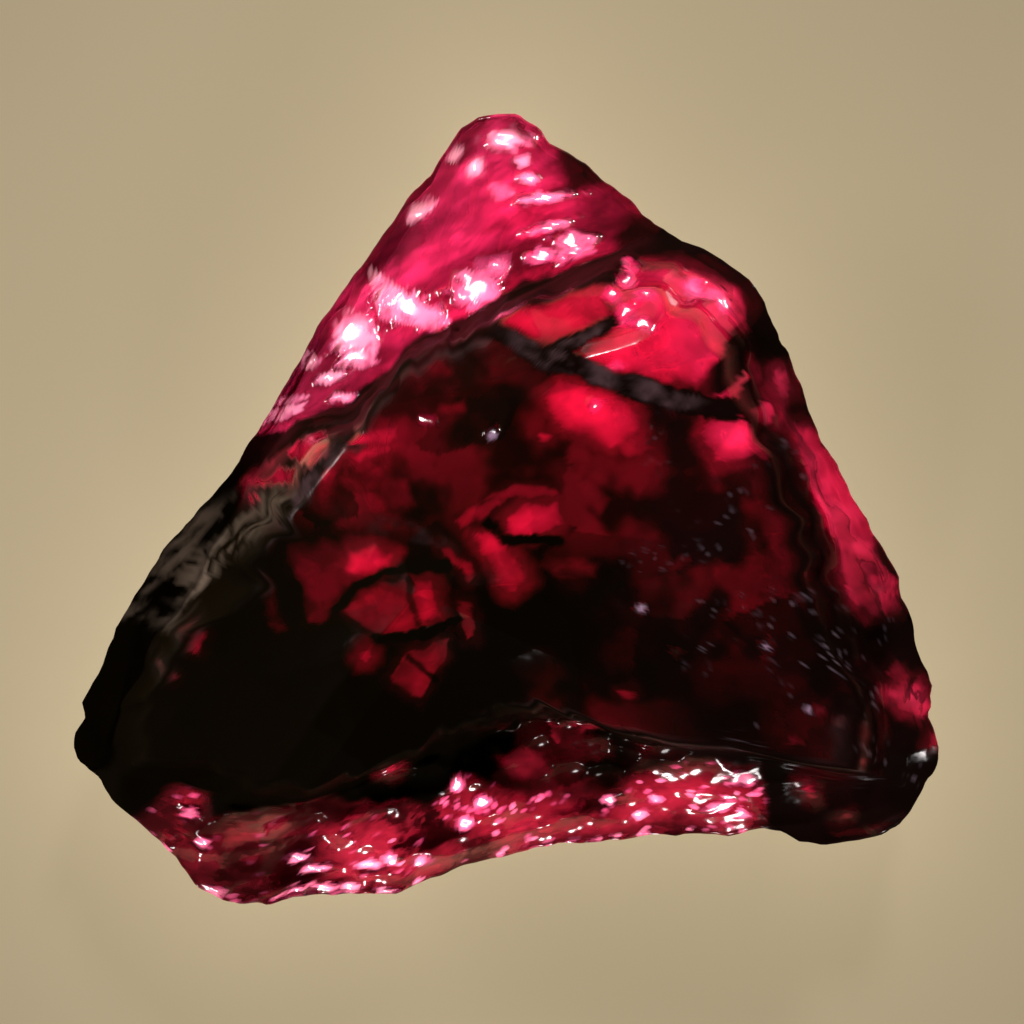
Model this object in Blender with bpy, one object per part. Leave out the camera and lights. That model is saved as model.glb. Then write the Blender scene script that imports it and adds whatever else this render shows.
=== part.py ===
"""Painite crystal: a rough, three-cornered piece of deep red crystal.

The stone is one solid body.  It lies on its back, so its broad fractured front
looks up (+Z), its narrow end points along +Y and its long lower edge runs along X.
Lengths in this file are millimetres until the last step, which turns them to metres.

The body starts as a sphere of rings and meridians.  Every ring is stretched to the
outline of the stone and lifted to the height of the back or of the front there, so
the facets, the ledge, the shelf, the veins and the chips are all one closed surface.
"""
import bmesh
import bpy
import numpy as np
from mathutils.geometry import normal

NAME = "crystal"
COLLECTION = "painite crystal"

# Mesh of the body
MERIDIANS = 100         # points round the outline
BACK_RINGS = 15         # rings on the back
WALL_RINGS = 2          # rings on the rough side wall
EDGE_RINGS = 8          # rings on the thin margin of the front
STEP_RINGS = 2          # rings on the step up to the thick body
BODY_RINGS = 19         # rings on the thick body
RING_CROWDING = 1.25    # above 1 the rings of the back crowd toward the outline

MM = 0.001              # metres in a millimetre

# Highest point of the body, where its broad faces meet, and the middle of the rings: x, y
CENTRE = np.array([-1.0, -1.6])
PEAK = 6.10

# Outline of the stone seen from the front, anticlockwise from the narrow end: x, y
OUTLINE = np.array([
    (-0.46, 6.95), (-0.77, 6.70), (-1.30, 5.83), (-1.72, 5.43), (-3.30, 3.20), (-4.70, 0.76),
    (-5.96, -0.76), (-6.81, -2.13), (-7.02, -2.76), (-7.37, -3.41), (-7.33, -3.68),
    (-7.47, -3.90), (-7.54, -4.18), (-7.46, -4.45), (-7.11, -4.78), (-6.74, -5.29),
    (-6.05, -5.80), (-5.32, -6.66), (-4.67, -6.99), (-4.37, -7.02), (-4.04, -6.99),
    (-3.79, -6.90), (-1.91, -6.89), (-0.58, -6.36), (0.98, -5.99), (2.05, -5.96),
    (2.68, -5.83), (3.96, -5.85), (4.65, -5.71), (4.95, -5.76), (5.25, -5.94), (5.65, -5.99),
    (6.07, -5.92), (6.58, -5.78), (7.00, -5.52), (7.39, -4.73), (7.54, -4.13), (7.33, -3.57),
    (7.40, -3.10), (7.11, -2.52), (6.77, -1.24), (5.32, 1.41), (4.72, 2.94), (4.19, 3.89),
    (3.74, 4.25), (2.88, 4.69), (1.47, 5.99), (0.79, 6.48), (0.65, 6.73), (0.26, 7.00),
    (-0.16, 7.02)])

# Broad faces of the back, one along each stretch of the outline:
# a point on the edge, the direction inward, the height at the edge and the fall per mm inward
BACK_FACES = [
    ((-4.47, 1.15), (0.827, -0.562), 0.80, 0.25),    # upper left edge
    ((-0.30, 6.99), (0.023, -1.000), 1.00, 0.30),    # narrow end
    ((0.79, 6.48), (-0.603, -0.798), 1.20, 0.45),    # upper right edge
    ((3.74, 4.25), (-0.832, -0.555), 1.80, 0.55),    # shoulder on the right
    ((4.89, 2.52), (-0.894, -0.447), 1.70, 0.60),    # right edge
    ((6.77, -1.24), (-0.965, -0.263), 1.50, 0.55),   # lower right edge
    ((7.56, -4.13), (-0.927, 0.376), 1.20, 0.50),    # right corner
    ((6.07, -5.92), (-0.109, 0.994), 0.55, 0.16),    # bottom edge
    ((-5.02, -6.85), (0.728, 0.685), 1.60, 0.60),    # lower left edge
    ((-7.53, -4.18), (0.909, -0.416), 2.20, 0.75),   # left corner
    ((-5.96, -0.76), (0.788, -0.615), 1.50, 0.50)]   # left edge

# Side wall and thin margin of the front by direction from the centre:
# degrees, wall height, rise of the margin per mm inward, width of the step up to the body
RIM = np.array([
    (-158, 1.2, 1.6, 1.1), (-122, 0.6, 0.5, 0.6), (-78, 0.7, 0.45, 0.6), (-41, 1.0, 0.45, 0.6),
    (-24, 1.6, 0.45, 0.8), (-16, 2.0, 0.45, 0.8), (3, 2.2, 0.40, 0.8), (35, 2.3, 0.45, 0.8),
    (51, 2.3, 0.50, 0.8), (76, 1.3, 0.60, 0.6), (90, 0.9, 1.2, 0.5), (110, 1.0, 1.3, 0.45),
    (140, 1.0, 1.5, 1.1), (155, 0.9, 1.9, 1.6), (172, 1.3, 1.8, 1.5)], float)

# Flat plate of the margin along the upper left edge:
# point on the edge, direction inward, height, rise per mm
PLATE_FACE = ((-4.47, 1.15), (0.827, -0.562), 1.80, 0.42)

# Foot of the thick body on the margin, anticlockwise from the upper right end of the ledge
FOOT = np.array([
    (2.04, 4.43), (1.05, 4.10), (0.49, 3.94), (-0.37, 3.52), (-1.02, 3.15), (-1.58, 2.92),
    (-2.14, 2.27), (-2.70, 1.82), (-3.63, 1.52), (-4.35, 1.02), (-5.62, -0.90), (-6.42, -2.25),
    (-6.95, -3.60), (-7.08, -4.20), (-6.80, -4.70), (-5.86, -4.82), (-4.81, -5.13),
    (-3.58, -5.24), (-2.79, -4.96), (-1.82, -4.57), (-0.86, -4.29), (-0.07, -3.99),
    (0.63, -3.75), (1.51, -3.82), (2.39, -4.17), (3.44, -4.29), (4.53, -4.40), (5.70, -4.62),
    (6.60, -4.70), (6.80, -4.05), (6.62, -3.20), (6.35, -2.40), (6.02, -1.45), (5.75, -0.60),
    (5.45, 0.20), (5.08, 1.20), (4.62, 2.10), (4.25, 2.95), (3.85, 3.55), (3.30, 4.02),
    (2.70, 4.30)])

# Broad faces that fall away from the peak: rise per mm along x, along y
PEAK_FACES = [
    (-0.25, -0.02),     # wide face of the right half
    (0.28, -0.20),      # face under the ledge
    (0.38, 0.10),       # dark face on the left
    (-0.05, 0.40)]      # face above the shelf

# Other faces of the body: height, at x, at y, rise per mm along x, along y
OTHER_FACES = [
    (5.25, 1.25, 2.38, -0.12, -0.52),       # upper face, beyond the long vein
    (2.90, -5.96, -0.76, 1.144, -0.892)]    # steep skin of the left edge

# Raised dark veins on the front: half width, height, path
VEINS = [
    (0.62, 0.36, [(-0.35, 3.00), (0.15, 2.80), (0.74, 2.45), (1.21, 2.36), (1.81, 2.11),
                  (2.44, 1.99), (3.00, 1.76), (3.37, 1.70), (3.80, 1.60)]),
    (0.42, 0.22, [(0.81, 2.62), (1.25, 2.85), (1.81, 3.18)]),
    (0.45, 0.18, [(-3.04, 0.01), (-1.82, -0.39), (-1.12, -0.48), (-0.60, -0.92)])]

# Least thickness of the margin, and rounding of the corners between chips and between faces
LEAST_THICKNESS = 0.25
CHIP_ROUNDING = 0.06
FACE_ROUNDING = 0.20

# Body colour of the crystal
COLOUR = (0.30, 0.006, 0.020, 1.0)
ROUGHNESS = 0.22


def cell_value(i, j, seed):
    """A repeatable number from 0 to 1 for a cell of a lattice."""
    mixed = (i.astype(np.int64) * 374761393 + j.astype(np.int64) * 668265263 + seed * 974711) & 0xFFFFFFFF
    mixed = ((mixed ^ (mixed >> 13)) * 1274126177) & 0xFFFFFFFF
    return ((mixed ^ (mixed >> 16)) & 0xFFFFFF) / float(0xFFFFFF)


def soft_min(a, b, width):
    """The lower of two heights, with the corner between them rounded over the given height."""
    share = np.clip(0.5 + 0.5 * (b - a) / width, 0, 1)
    return b + (a - b) * share - width * share * (1 - share)


def chips(x, y, size, radius, seed, tilt=0.1, depth=0.1, turn=0.0, stretch=1.0):
    """Height of the lowest of many overlapping shallow bowls, one in each cell of a lattice.

    Each bowl is a paraboloid of the given radius, tilted a little and sunk by its own depth,
    so neighbours meet in sharp ridges as conchoidal chips do.
    """
    c, s = np.cos(turn), np.sin(turn)
    u, v = (c * x + s * y) / stretch / size, (c * y - s * x) / size
    iu, iv = np.floor(u), np.floor(v)
    lowest = np.full(np.shape(x), 1e9)
    for dj in range(-2, 3):
        for di in range(-2, 3):
            i, j = iu + di, iv + dj
            du = (u - i - cell_value(i, j, seed)) * size
            dv = (v - j - cell_value(i, j, seed + 1)) * size
            way = 2 * np.pi * cell_value(i, j, seed + 3)
            bowl = ((du * du + dv * dv) / (2 * radius) + tilt * (np.cos(way) * du + np.sin(way) * dv)
                    + depth * cell_value(i, j, seed + 2))
            lowest = soft_min(lowest, bowl, CHIP_ROUNDING)
    return lowest


def path_distance(x, y, path, closed=False):
    """Distance to a path, and the place of the nearest point along it with + to its left."""
    pts = np.array(path, float)
    if closed:
        pts = np.vstack([pts, pts[:1]])
    steps = np.diff(pts, axis=0)
    lengths = np.hypot(steps[:, 0], steps[:, 1])
    before = np.concatenate([[0.0], np.cumsum(lengths)])
    nearest = np.full(np.shape(x), 1e9)
    along = np.zeros(np.shape(x))
    left = np.ones(np.shape(x))
    for (ax, ay), (sx, sy), length, start in zip(pts, steps, lengths, before):
        t = np.clip(((x - ax) * sx + (y - ay) * sy) / length ** 2, 0, 1)
        dx, dy = x - ax - t * sx, y - ay - t * sy
        d = np.hypot(dx, dy)
        closer = d < nearest
        nearest = np.where(closer, d, nearest)
        along = np.where(closer, (start + t * length) / before[-1], along)
        left = np.where(closer, np.where(sx * dy - sy * dx >= 0, 1.0, -1.0), left)
    return nearest, along, left


def back_faces(x, y):
    """Highest of the broad faces of the back."""
    return np.maximum.reduce([height - fall * ((x - px) * nx + (y - py) * ny)
                              for (px, py), (nx, ny), height, fall in BACK_FACES])


def back_height(x, y, inset):
    """Back of the stone: broad faces with chips, cut flat by the face it rests on."""
    fade = np.clip(inset / 0.6, 0, 1)
    rough = fade * (0.28 - chips(x, y, 1.7, 2.6, 51, tilt=0.15, depth=0.2))
    return np.maximum(back_faces(x, y) + rough, 0.0)


def rim_values(x, y):
    """Wall height, slope of the margin and width of the step in the direction of a point."""
    way = np.degrees(np.arctan2(y - CENTRE[1], x - CENTRE[0]))
    degrees = np.concatenate([RIM[:, 0] - 360, RIM[:, 0], RIM[:, 0] + 360])
    return [np.interp(way, degrees, np.tile(RIM[:, k], 3)) for k in (1, 2, 3)]


def margin_height(x, y, inset):
    """Thin margin of the front: it rises inward from the top of the side wall."""
    wall, slope, _ = rim_values(x, y)
    margin = back_faces(x, y) + wall + slope * inset
    margin = margin + 0.8 * chips(x, y, 1.1, 1.1, 43, tilt=0.2, depth=0.15, turn=0.2, stretch=1.4) - 0.1
    (px, py), (nx, ny), height, rise = PLATE_FACE
    plate = height + rise * ((x - px) * nx + (y - py) * ny) - 0.1
    plate = plate + 0.7 * chips(x, y, 1.0, 1.6, 41, tilt=0.2, depth=0.08, turn=0.9, stretch=1.8)
    return np.minimum(margin, plate)


def body_height(x, y):
    """Thick body: the lowest of its broad faces, with large shallow chips and the veins."""
    dx, dy = x - CENTRE[0], y - CENTRE[1]
    body = np.minimum.reduce([PEAK + gx * dx + gy * dy for gx, gy in PEAK_FACES])
    for h, px, py, gx, gy in OTHER_FACES:
        body = soft_min(body, h + gx * (x - px) + gy * (y - py), FACE_ROUNDING)
    from_peak = np.clip((np.hypot(dx, dy) - 0.3) / 1.5, 0, 1)
    body = body + from_peak * (chips(x, y, 3.0, 6.5, 11, tilt=0.11, depth=0.3) - 0.30)
    for half_width, height, path in VEINS:
        away, along, _ = path_distance(x, y, path)
        width = half_width * (0.6 + 0.6 * np.sin(np.pi * along))
        body = body + height * (0.5 + 0.5 * np.cos(np.pi * np.clip(away / width, 0, 1)))
    return body


def front_height(x, y, inset, up_the_step):
    """Front of the stone: the margin, the step up from it and the thick body."""
    margin = margin_height(x, y, inset)
    return margin + (body_height(x, y) - margin) * up_the_step


def outline_points(count):
    """The outline with its longest stretches halved until it has this many points."""
    pts = OUTLINE.copy()
    while len(pts) < count:
        lengths = np.hypot(*(np.roll(pts, -1, axis=0) - pts).T)
        k = int(np.argmax(lengths))
        pts = np.insert(pts, k + 1, (pts[k] + pts[(k + 1) % len(pts)]) / 2, axis=0)
    return pts


def reach_of(path, rim):
    """How far along each line from the centre to the rim it crosses a closed path."""
    ends = np.roll(path, -1, axis=0) - path
    start = path - CENTRE
    ray = (rim - CENTRE)[:, None, :]
    cross = ray[..., 0] * ends[:, 1] - ray[..., 1] * ends[:, 0]
    reach = (start[:, 0] * ends[:, 1] - start[:, 1] * ends[:, 0]) / cross
    along = (start[:, 0] * ray[..., 1] - start[:, 1] * ray[..., 0]) / cross
    hit = (along > -1e-6) & (along < 1 + 1e-6) & (reach > 0)
    return np.where(hit, reach, 0).max(axis=1)


def stone_points(ring, meridian):
    """Place of each sphere vertex on the stone, from its ring (0 = back pole) and meridian."""
    rim = outline_points(MERIDIANS)
    foot = reach_of(FOOT, rim)
    step = rim_values(rim[:, 0], rim[:, 1])[2] / np.hypot(*(rim - CENTRE).T)
    rim, foot, top = rim[meridian], foot[meridian], (foot - step)[meridian]
    wall_start = BACK_RINGS
    margin_start = wall_start + WALL_RINGS + 1
    foot_ring = margin_start + EDGE_RINGS
    top_ring = foot_ring + STEP_RINGS
    centre_ring = top_ring + BODY_RINGS
    stops = np.array([margin_start, foot_ring, top_ring, centre_ring])
    reaches = np.stack([np.ones(len(ring)), foot, top, np.zeros(len(ring))])
    part = np.clip(np.searchsorted(stops, ring, side="right") - 1, 0, 2)
    share = (ring - stops[part]) / (stops[part + 1] - stops[part])
    here = np.arange(len(ring))
    reach = reaches[part, here] * (1 - share) + reaches[part + 1, here] * share
    reach = np.where(ring < margin_start, 1.0, reach)
    on_back = 1 - (1 - np.clip(ring / BACK_RINGS, 0, 1)) ** RING_CROWDING
    reach = np.where(ring <= wall_start, on_back, reach)
    place = CENTRE + reach[:, None] * (rim - CENTRE)
    x, y = place[:, 0], place[:, 1]
    inset = np.where(reach < 1, path_distance(x, y, OUTLINE, closed=True)[0], 0.0)
    low = back_height(x, y, inset)
    up_the_step = np.clip((foot - reach) / (foot - top), 0, 1)
    high = np.maximum(front_height(x, y, inset, up_the_step), low + LEAST_THICKNESS)
    up_the_wall = np.clip((ring - wall_start) / (WALL_RINGS + 1), 0, 1)
    return np.column_stack([x, y, low + (high - low) * up_the_wall])


def split_flattest(bm):
    """Cut every four-sided face in two along the diagonal that folds it least."""
    for face in [f for f in bm.faces if len(f.verts) == 4]:
        a, b, c, d = [v.co for v in face.verts]
        across_ac = normal([a, b, c]).dot(normal([a, c, d]))
        across_bd = normal([a, b, d]).dot(normal([b, c, d]))
        first = 0 if across_ac >= across_bd else 1
        bmesh.utils.face_split(face, face.verts[first], face.verts[first + 2])


def make_stone():
    """A sphere of rings and meridians, moved onto the surface of the stone."""
    rings = BACK_RINGS + WALL_RINGS + EDGE_RINGS + STEP_RINGS + BODY_RINGS
    mesh = bpy.data.meshes.new(NAME)
    bm = bmesh.new()
    bmesh.ops.create_uvsphere(bm, u_segments=MERIDIANS, v_segments=rings + 1, radius=1.0)
    ball = np.array([v.co[:] for v in bm.verts])
    ring = np.rint((np.arcsin(np.clip(ball[:, 2], -1, 1)) / np.pi + 0.5) * (rings + 1)).astype(int)
    meridian = np.rint(np.arctan2(ball[:, 1], ball[:, 0]) / (2 * np.pi) * MERIDIANS).astype(int) % MERIDIANS
    points = stone_points(ring, meridian) * MM
    for vert, point in zip(bm.verts, points):
        vert.co = point
    split_flattest(bm)
    bm.to_mesh(mesh)
    bm.free()
    return bpy.data.objects.new(NAME, mesh)


def crystal_material():
    """Deep red crystal with a glossy broken surface."""
    material = bpy.data.materials.new("painite")
    material.use_nodes = True
    shader = material.node_tree.nodes["Principled BSDF"]
    shader.inputs["Base Color"].default_value = COLOUR
    shader.inputs["Roughness"].default_value = ROUGHNESS
    shader.inputs["Metallic"].default_value = 0.0
    return material


for old in list(bpy.data.objects):
    bpy.data.objects.remove(old, do_unlink=True)
collection = bpy.data.collections.new(COLLECTION)
bpy.context.scene.collection.children.link(collection)
stone = make_stone()
stone.data.materials.append(crystal_material())
collection.objects.link(stone)
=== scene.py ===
# %% [markdown]
# # A painite crystal
# This script dresses one rough crystal of painite, a deep red mineral that is seen with light
# coming through it.  The real stone is a single broken piece: a thin clear plate at the narrow
# end, a thick body whose skin is nearly black, and small clear windows in that skin that glow.
#
# The packed model is loaded first.  It is the frame: its place and size never change here.

# %% The packed model
import bpy
import numpy as np
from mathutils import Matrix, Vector


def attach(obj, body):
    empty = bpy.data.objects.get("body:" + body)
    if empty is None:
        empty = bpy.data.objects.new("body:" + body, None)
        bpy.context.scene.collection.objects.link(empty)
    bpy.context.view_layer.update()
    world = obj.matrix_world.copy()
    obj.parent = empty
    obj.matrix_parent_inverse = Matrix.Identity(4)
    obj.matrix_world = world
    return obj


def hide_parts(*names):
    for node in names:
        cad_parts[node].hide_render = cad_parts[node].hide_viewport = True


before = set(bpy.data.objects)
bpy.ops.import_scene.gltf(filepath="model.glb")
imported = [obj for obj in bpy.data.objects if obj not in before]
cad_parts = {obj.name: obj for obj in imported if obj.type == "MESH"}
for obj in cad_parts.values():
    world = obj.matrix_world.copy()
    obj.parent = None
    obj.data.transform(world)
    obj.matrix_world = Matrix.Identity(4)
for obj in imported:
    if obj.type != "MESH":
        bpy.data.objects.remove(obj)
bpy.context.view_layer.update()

# %% [markdown]
# ## Sizes
# A lapidary would describe the stone by its outline, its broad faces and its steps, so these are
# the values kept here.  They are the same as those of the solid model, in millimetres.  +Z is up
# from the face it rests on, and the narrow end points along +Y.

# %% Sizes and places of the broad forms
MM = 0.001                          # metres in a millimetre
CENTRE = np.array([-1.0, -1.6])     # under the highest point of the body
PEAK = 6.10                         # height of that point

OUTLINE = np.array([
    (-0.46, 6.95), (-0.77, 6.70), (-1.30, 5.83), (-1.72, 5.43), (-3.30, 3.20), (-4.70, 0.76),
    (-5.96, -0.76), (-6.81, -2.13), (-7.02, -2.76), (-7.37, -3.41), (-7.33, -3.68),
    (-7.47, -3.90), (-7.54, -4.18), (-7.46, -4.45), (-7.11, -4.78), (-6.74, -5.29),
    (-6.05, -5.80), (-5.32, -6.66), (-4.67, -6.99), (-4.37, -7.02), (-4.04, -6.99),
    (-3.79, -6.90), (-1.91, -6.89), (-0.58, -6.36), (0.98, -5.99), (2.05, -5.96),
    (2.68, -5.83), (3.96, -5.85), (4.65, -5.71), (4.95, -5.76), (5.25, -5.94), (5.65, -5.99),
    (6.07, -5.92), (6.58, -5.78), (7.00, -5.52), (7.39, -4.73), (7.54, -4.13), (7.33, -3.57),
    (7.40, -3.10), (7.11, -2.52), (6.77, -1.24), (5.32, 1.41), (4.72, 2.94), (4.19, 3.89),
    (3.74, 4.25), (2.88, 4.69), (1.47, 5.99), (0.79, 6.48), (0.65, 6.73), (0.26, 7.00),
    (-0.16, 7.02)])

# Broad faces of the back: a point on the edge, the way inward, height there, fall per mm
BACK_FACES = [
    ((-4.47, 1.15), (0.827, -0.562), 0.80, 0.25), ((-0.30, 6.99), (0.023, -1.000), 1.00, 0.30),
    ((0.79, 6.48), (-0.603, -0.798), 1.20, 0.45), ((3.74, 4.25), (-0.832, -0.555), 1.80, 0.55),
    ((4.89, 2.52), (-0.894, -0.447), 1.70, 0.60), ((6.77, -1.24), (-0.965, -0.263), 1.50, 0.55),
    ((7.56, -4.13), (-0.927, 0.376), 1.20, 0.50), ((6.07, -5.92), (-0.109, 0.994), 0.55, 0.16),
    ((-5.02, -6.85), (0.728, 0.685), 1.60, 0.60), ((-7.53, -4.18), (0.909, -0.416), 2.20, 0.75),
    ((-5.96, -0.76), (0.788, -0.615), 1.50, 0.50)]

# By direction from the centre: degrees, height of the side wall, rise of the margin per mm, step
RIM = np.array([
    (-158, 1.2, 1.6, 1.1), (-122, 0.6, 0.5, 0.6), (-78, 0.7, 0.45, 0.6), (-41, 1.0, 0.45, 0.6),
    (-24, 1.6, 0.45, 0.8), (-16, 2.0, 0.45, 0.8), (3, 2.2, 0.40, 0.8), (35, 2.3, 0.45, 0.8),
    (51, 2.3, 0.50, 0.8), (76, 1.3, 0.60, 0.6), (90, 0.9, 1.2, 0.5), (110, 1.0, 1.3, 0.45),
    (140, 1.0, 1.5, 1.1), (155, 0.9, 1.9, 1.6), (172, 1.3, 1.8, 1.5)], float)
PLATE_FACE = ((-4.47, 1.15), (0.827, -0.562), 1.80, 0.42)

# Foot of the thick body on the margin
FOOT = np.array([
    (2.04, 4.43), (1.05, 4.10), (0.49, 3.94), (-0.37, 3.52), (-1.02, 3.15), (-1.58, 2.92),
    (-2.14, 2.27), (-2.70, 1.82), (-3.63, 1.52), (-4.35, 1.02), (-5.62, -0.90), (-6.42, -2.25),
    (-6.95, -3.60), (-7.08, -4.20), (-6.80, -4.70), (-5.86, -4.82), (-4.81, -5.13),
    (-3.58, -5.24), (-2.79, -4.96), (-1.82, -4.57), (-0.86, -4.29), (-0.07, -3.99),
    (0.63, -3.75), (1.51, -3.82), (2.39, -4.17), (3.44, -4.29), (4.53, -4.40), (5.70, -4.62),
    (6.60, -4.70), (6.80, -4.05), (6.62, -3.20), (6.35, -2.40), (6.02, -1.45), (5.75, -0.60),
    (5.45, 0.20), (5.08, 1.20), (4.62, 2.10), (4.25, 2.95), (3.85, 3.55), (3.30, 4.02),
    (2.70, 4.30)])

# Broad faces of the body: rise per mm along x and y from the peak, then faces with a place
PEAK_FACES = [(-0.25, -0.02), (0.28, -0.20), (0.38, 0.10), (-0.05, 0.40)]
OTHER_FACES = [(5.25, 1.25, 2.38, -0.12, -0.52), (2.90, -5.96, -0.76, 1.144, -0.892)]

# Raised veins: half width, height, path
LONG_VEIN = [(-0.35, 3.00), (0.15, 2.80), (0.74, 2.45), (1.21, 2.36), (1.81, 2.11),
             (2.44, 1.99), (3.00, 1.76), (3.37, 1.70), (3.80, 1.60)]
SIDE_VEIN = [(0.81, 2.62), (1.25, 2.85), (1.81, 3.18)]
LEFT_VEIN = [(-3.04, 0.01), (-1.82, -0.39), (-1.12, -0.48), (-0.60, -0.92)]
VEINS = [(0.24, 0.035, LONG_VEIN), (0.14, 0.03, SIDE_VEIN), (0.25, 0.03, LEFT_VEIN)]
LEAST_THICKNESS = 0.25
print("outline of", len(OUTLINE), "corners,", len(BACK_FACES), "faces on the back,",
      len(PEAK_FACES) + len(OTHER_FACES), "on the body,", len(VEINS), "veins")

# %% [markdown]
# ## How the stone broke
# Painite has no strong cleavage, so it breaks like glass: shallow bowls, called conchoidal
# fractures, that meet in sharp ridges.  Sculpting or a displacement map could make them.  Here
# each is a formula, so the same surface comes out on every run and can be measured anywhere.

# %% Repeatable roughness
FAR = 1e9                           # higher and farther than anything here


def cell_value(i, j, seed):
    """A repeatable number from 0 to 1 for a cell of a lattice, mixed from its whole numbers."""
    mixed = (i.astype(np.int64) * 374761393 + j.astype(np.int64) * 668265263
             + seed * 974711) & 0xFFFFFFFF
    mixed = ((mixed ^ (mixed >> 13)) * 1274126177) & 0xFFFFFFFF
    return ((mixed ^ (mixed >> 16)) & 0xFFFFFF) / float(0xFFFFFF)


def fade(low, high, value):
    """0 below low, 1 above high, and 3t^2 - 2t^3 between them, where t is the way across."""
    t = np.clip((value - low) / (high - low), 0, 1)
    return t * t * (3 - 2 * t)


def wander(x, y, size, seed):
    """Smooth value from -1 to 1: cell values blended across each cell of the given size."""
    u, v = x / size, y / size
    i, j = np.floor(u), np.floor(v)
    s, t = fade(0, 1, u - i), fade(0, 1, v - j)
    low = cell_value(i, j, seed) * (1 - s) + cell_value(i + 1, j, seed) * s
    high = cell_value(i, j + 1, seed) * (1 - s) + cell_value(i + 1, j + 1, seed) * s
    return 2 * (low * (1 - t) + high * t) - 1


def cloud(x, y, size, seed):
    """Three wanders added, each half the size and half the height of the one before."""
    return (wander(x, y, size, seed) + wander(x, y, size / 2, seed + 1) / 2
            + wander(x, y, size / 4, seed + 2) / 4) / 1.75


def bent(x, y, amount, size, seed, other):
    """x and y, each with a cloud times the amount added, so that straight sides turn uneven."""
    return x + amount * cloud(x, y, size, seed), y + amount * cloud(x, y, size, other)


def turned(x, y, turn, stretch):
    """Coordinates turned by an angle, the first one divided by stretch, for long patterns."""
    c, s = np.cos(turn), np.sin(turn)
    return (c * x + s * y) / stretch, c * y - s * x


def scattered(u, v, reach, seed):
    """For each cell near u, v: its numbers i and j, and the way from the point scattered in it."""
    iu, iv = np.floor(u), np.floor(v)
    for dj in range(-reach, reach + 1):
        for di in range(-reach, reach + 1):
            i, j = iu + di, iv + dj
            yield i, j, u - i - cell_value(i, j, seed), v - j - cell_value(i, j, seed + 1)


def shards(x, y, size, seed):
    """Value from 0 to 1 of the nearest of many scattered points, and how near it is.

    Each lattice cell holds one point and the nearest wins, so patches meet in straight sides.
    """
    nearest, value = np.full(np.shape(x), FAR), np.zeros(np.shape(x))
    for i, j, du, dv in scattered(x / size, y / size, 1, seed):
        away = du ** 2 + dv ** 2
        value = np.where(away < nearest, cell_value(i, j, seed + 2), value)
        nearest = np.minimum(nearest, away)
    return value, 1 - np.clip(np.sqrt(nearest), 0, 1)


sample = cloud(*np.mgrid[0:5:0.1, 0:5:0.1], 1, 1)
print("cloud runs from %.2f to %.2f" % (sample.min(), sample.max()))

# %% Conchoidal chips
def chips(x, y, size, radius, seed, tilt=0.1, depth=0.1, turn=0.0, stretch=1.0):
    """Height of the lowest of many overlapping bowls, one in each cell of a lattice.

    Each bowl is r^2 / 2R, tilted a little and sunk by its own depth, so neighbours meet in
    sharp ridges.  The lattice can be turned and stretched for long chips.
    """
    u, v = turned(x, y, turn, stretch)
    lowest = np.full(np.shape(x), FAR)
    for i, j, du, dv in scattered(u / size, v / size, 2, seed):
        du, dv, way = du * size, dv * size, 2 * np.pi * cell_value(i, j, seed + 3)
        bowl = ((du * du + dv * dv) / (2 * radius)
                + tilt * (np.cos(way) * du + np.sin(way) * dv)
                + depth * cell_value(i, j, seed + 2))
        lowest = np.minimum(lowest, bowl)
    return lowest


def path_distance(x, y, path, closed=False):
    """Distance to a path, and how far along it the nearest point is, from 0 to 1."""
    pts = np.array(path, float)
    if closed:
        pts = np.vstack([pts, pts[:1]])
    steps = np.diff(pts, axis=0)
    lengths = np.hypot(*steps.T)
    before = np.concatenate([[0.0], np.cumsum(lengths)])
    nearest, along = np.full(np.shape(x), FAR), np.zeros(np.shape(x))
    for (ax, ay), (sx, sy), length, start in zip(pts, steps, lengths, before):
        t = np.clip(((x - ax) * sx + (y - ay) * sy) / length ** 2, 0, 1)
        away = np.hypot(x - ax - t * sx, y - ay - t * sy)
        along = np.where(away < nearest, (start + t * length) / before[-1], along)
        nearest = np.minimum(nearest, away)
    return nearest, along


def inside_distance(x, y, corners):
    """Distance to the sides of a closed shape, + inside and - outside.

    A point is inside when a line from it along +X crosses the sides an odd number of times.
    """
    distance = path_distance(x, y, corners, closed=True)[0]
    inside = np.zeros(np.shape(x), bool)
    for (x1, y1), (x2, y2) in zip(corners, list(corners[1:]) + [corners[0]]):
        if y1 != y2:
            inside ^= ((y1 > y) != (y2 > y)) & (x < (x2 - x1) * (y - y1) / (y2 - y1) + x1)
    return np.where(inside, distance, -distance)


print("the centre lies %.2f mm inside the outline" % inside_distance(*CENTRE, OUTLINE))

# %% [markdown]
# ## The back and the thin margin
# The back is what it lies on: broad faces that fall to one flat, so the stone sits without
# rocking.  The margin is the clear plate of the narrow end and the chipped lip of the long edge.
# Both are the highest or lowest of a few tilted planes, with chips of two sizes added, because
# that is how a broken edge builds up on the real one.

# %% Back and margin
SOFT_RIM = 0.6                      # mm from the edge over which the chips of the back grow
BACK_LIFT, CHIP_LIFT = 0.31, -0.12  # put the chipped surfaces about level with their planes


def back_faces(x, y):
    """Highest of the planes of the back: height - fall * distance inward."""
    return np.maximum.reduce([height - fall * ((x - px) * nx + (y - py) * ny)
                              for (px, py), (nx, ny), height, fall in BACK_FACES])


def back_height(x, y, inset):
    """Planes of the back less two sizes of chips, cut off at 0 by the face it rests on."""
    grow = np.clip(inset / SOFT_RIM, 0, 1)
    rough = BACK_LIFT - chips(x, y, 1.7, 2.6, 51, tilt=0.15, depth=0.2)
    rough = rough - 0.7 * chips(x, y, 0.6, 1.1, 61, tilt=0.15, depth=0.02)
    return np.maximum(back_faces(x, y) + grow * rough, 0.0)


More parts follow.
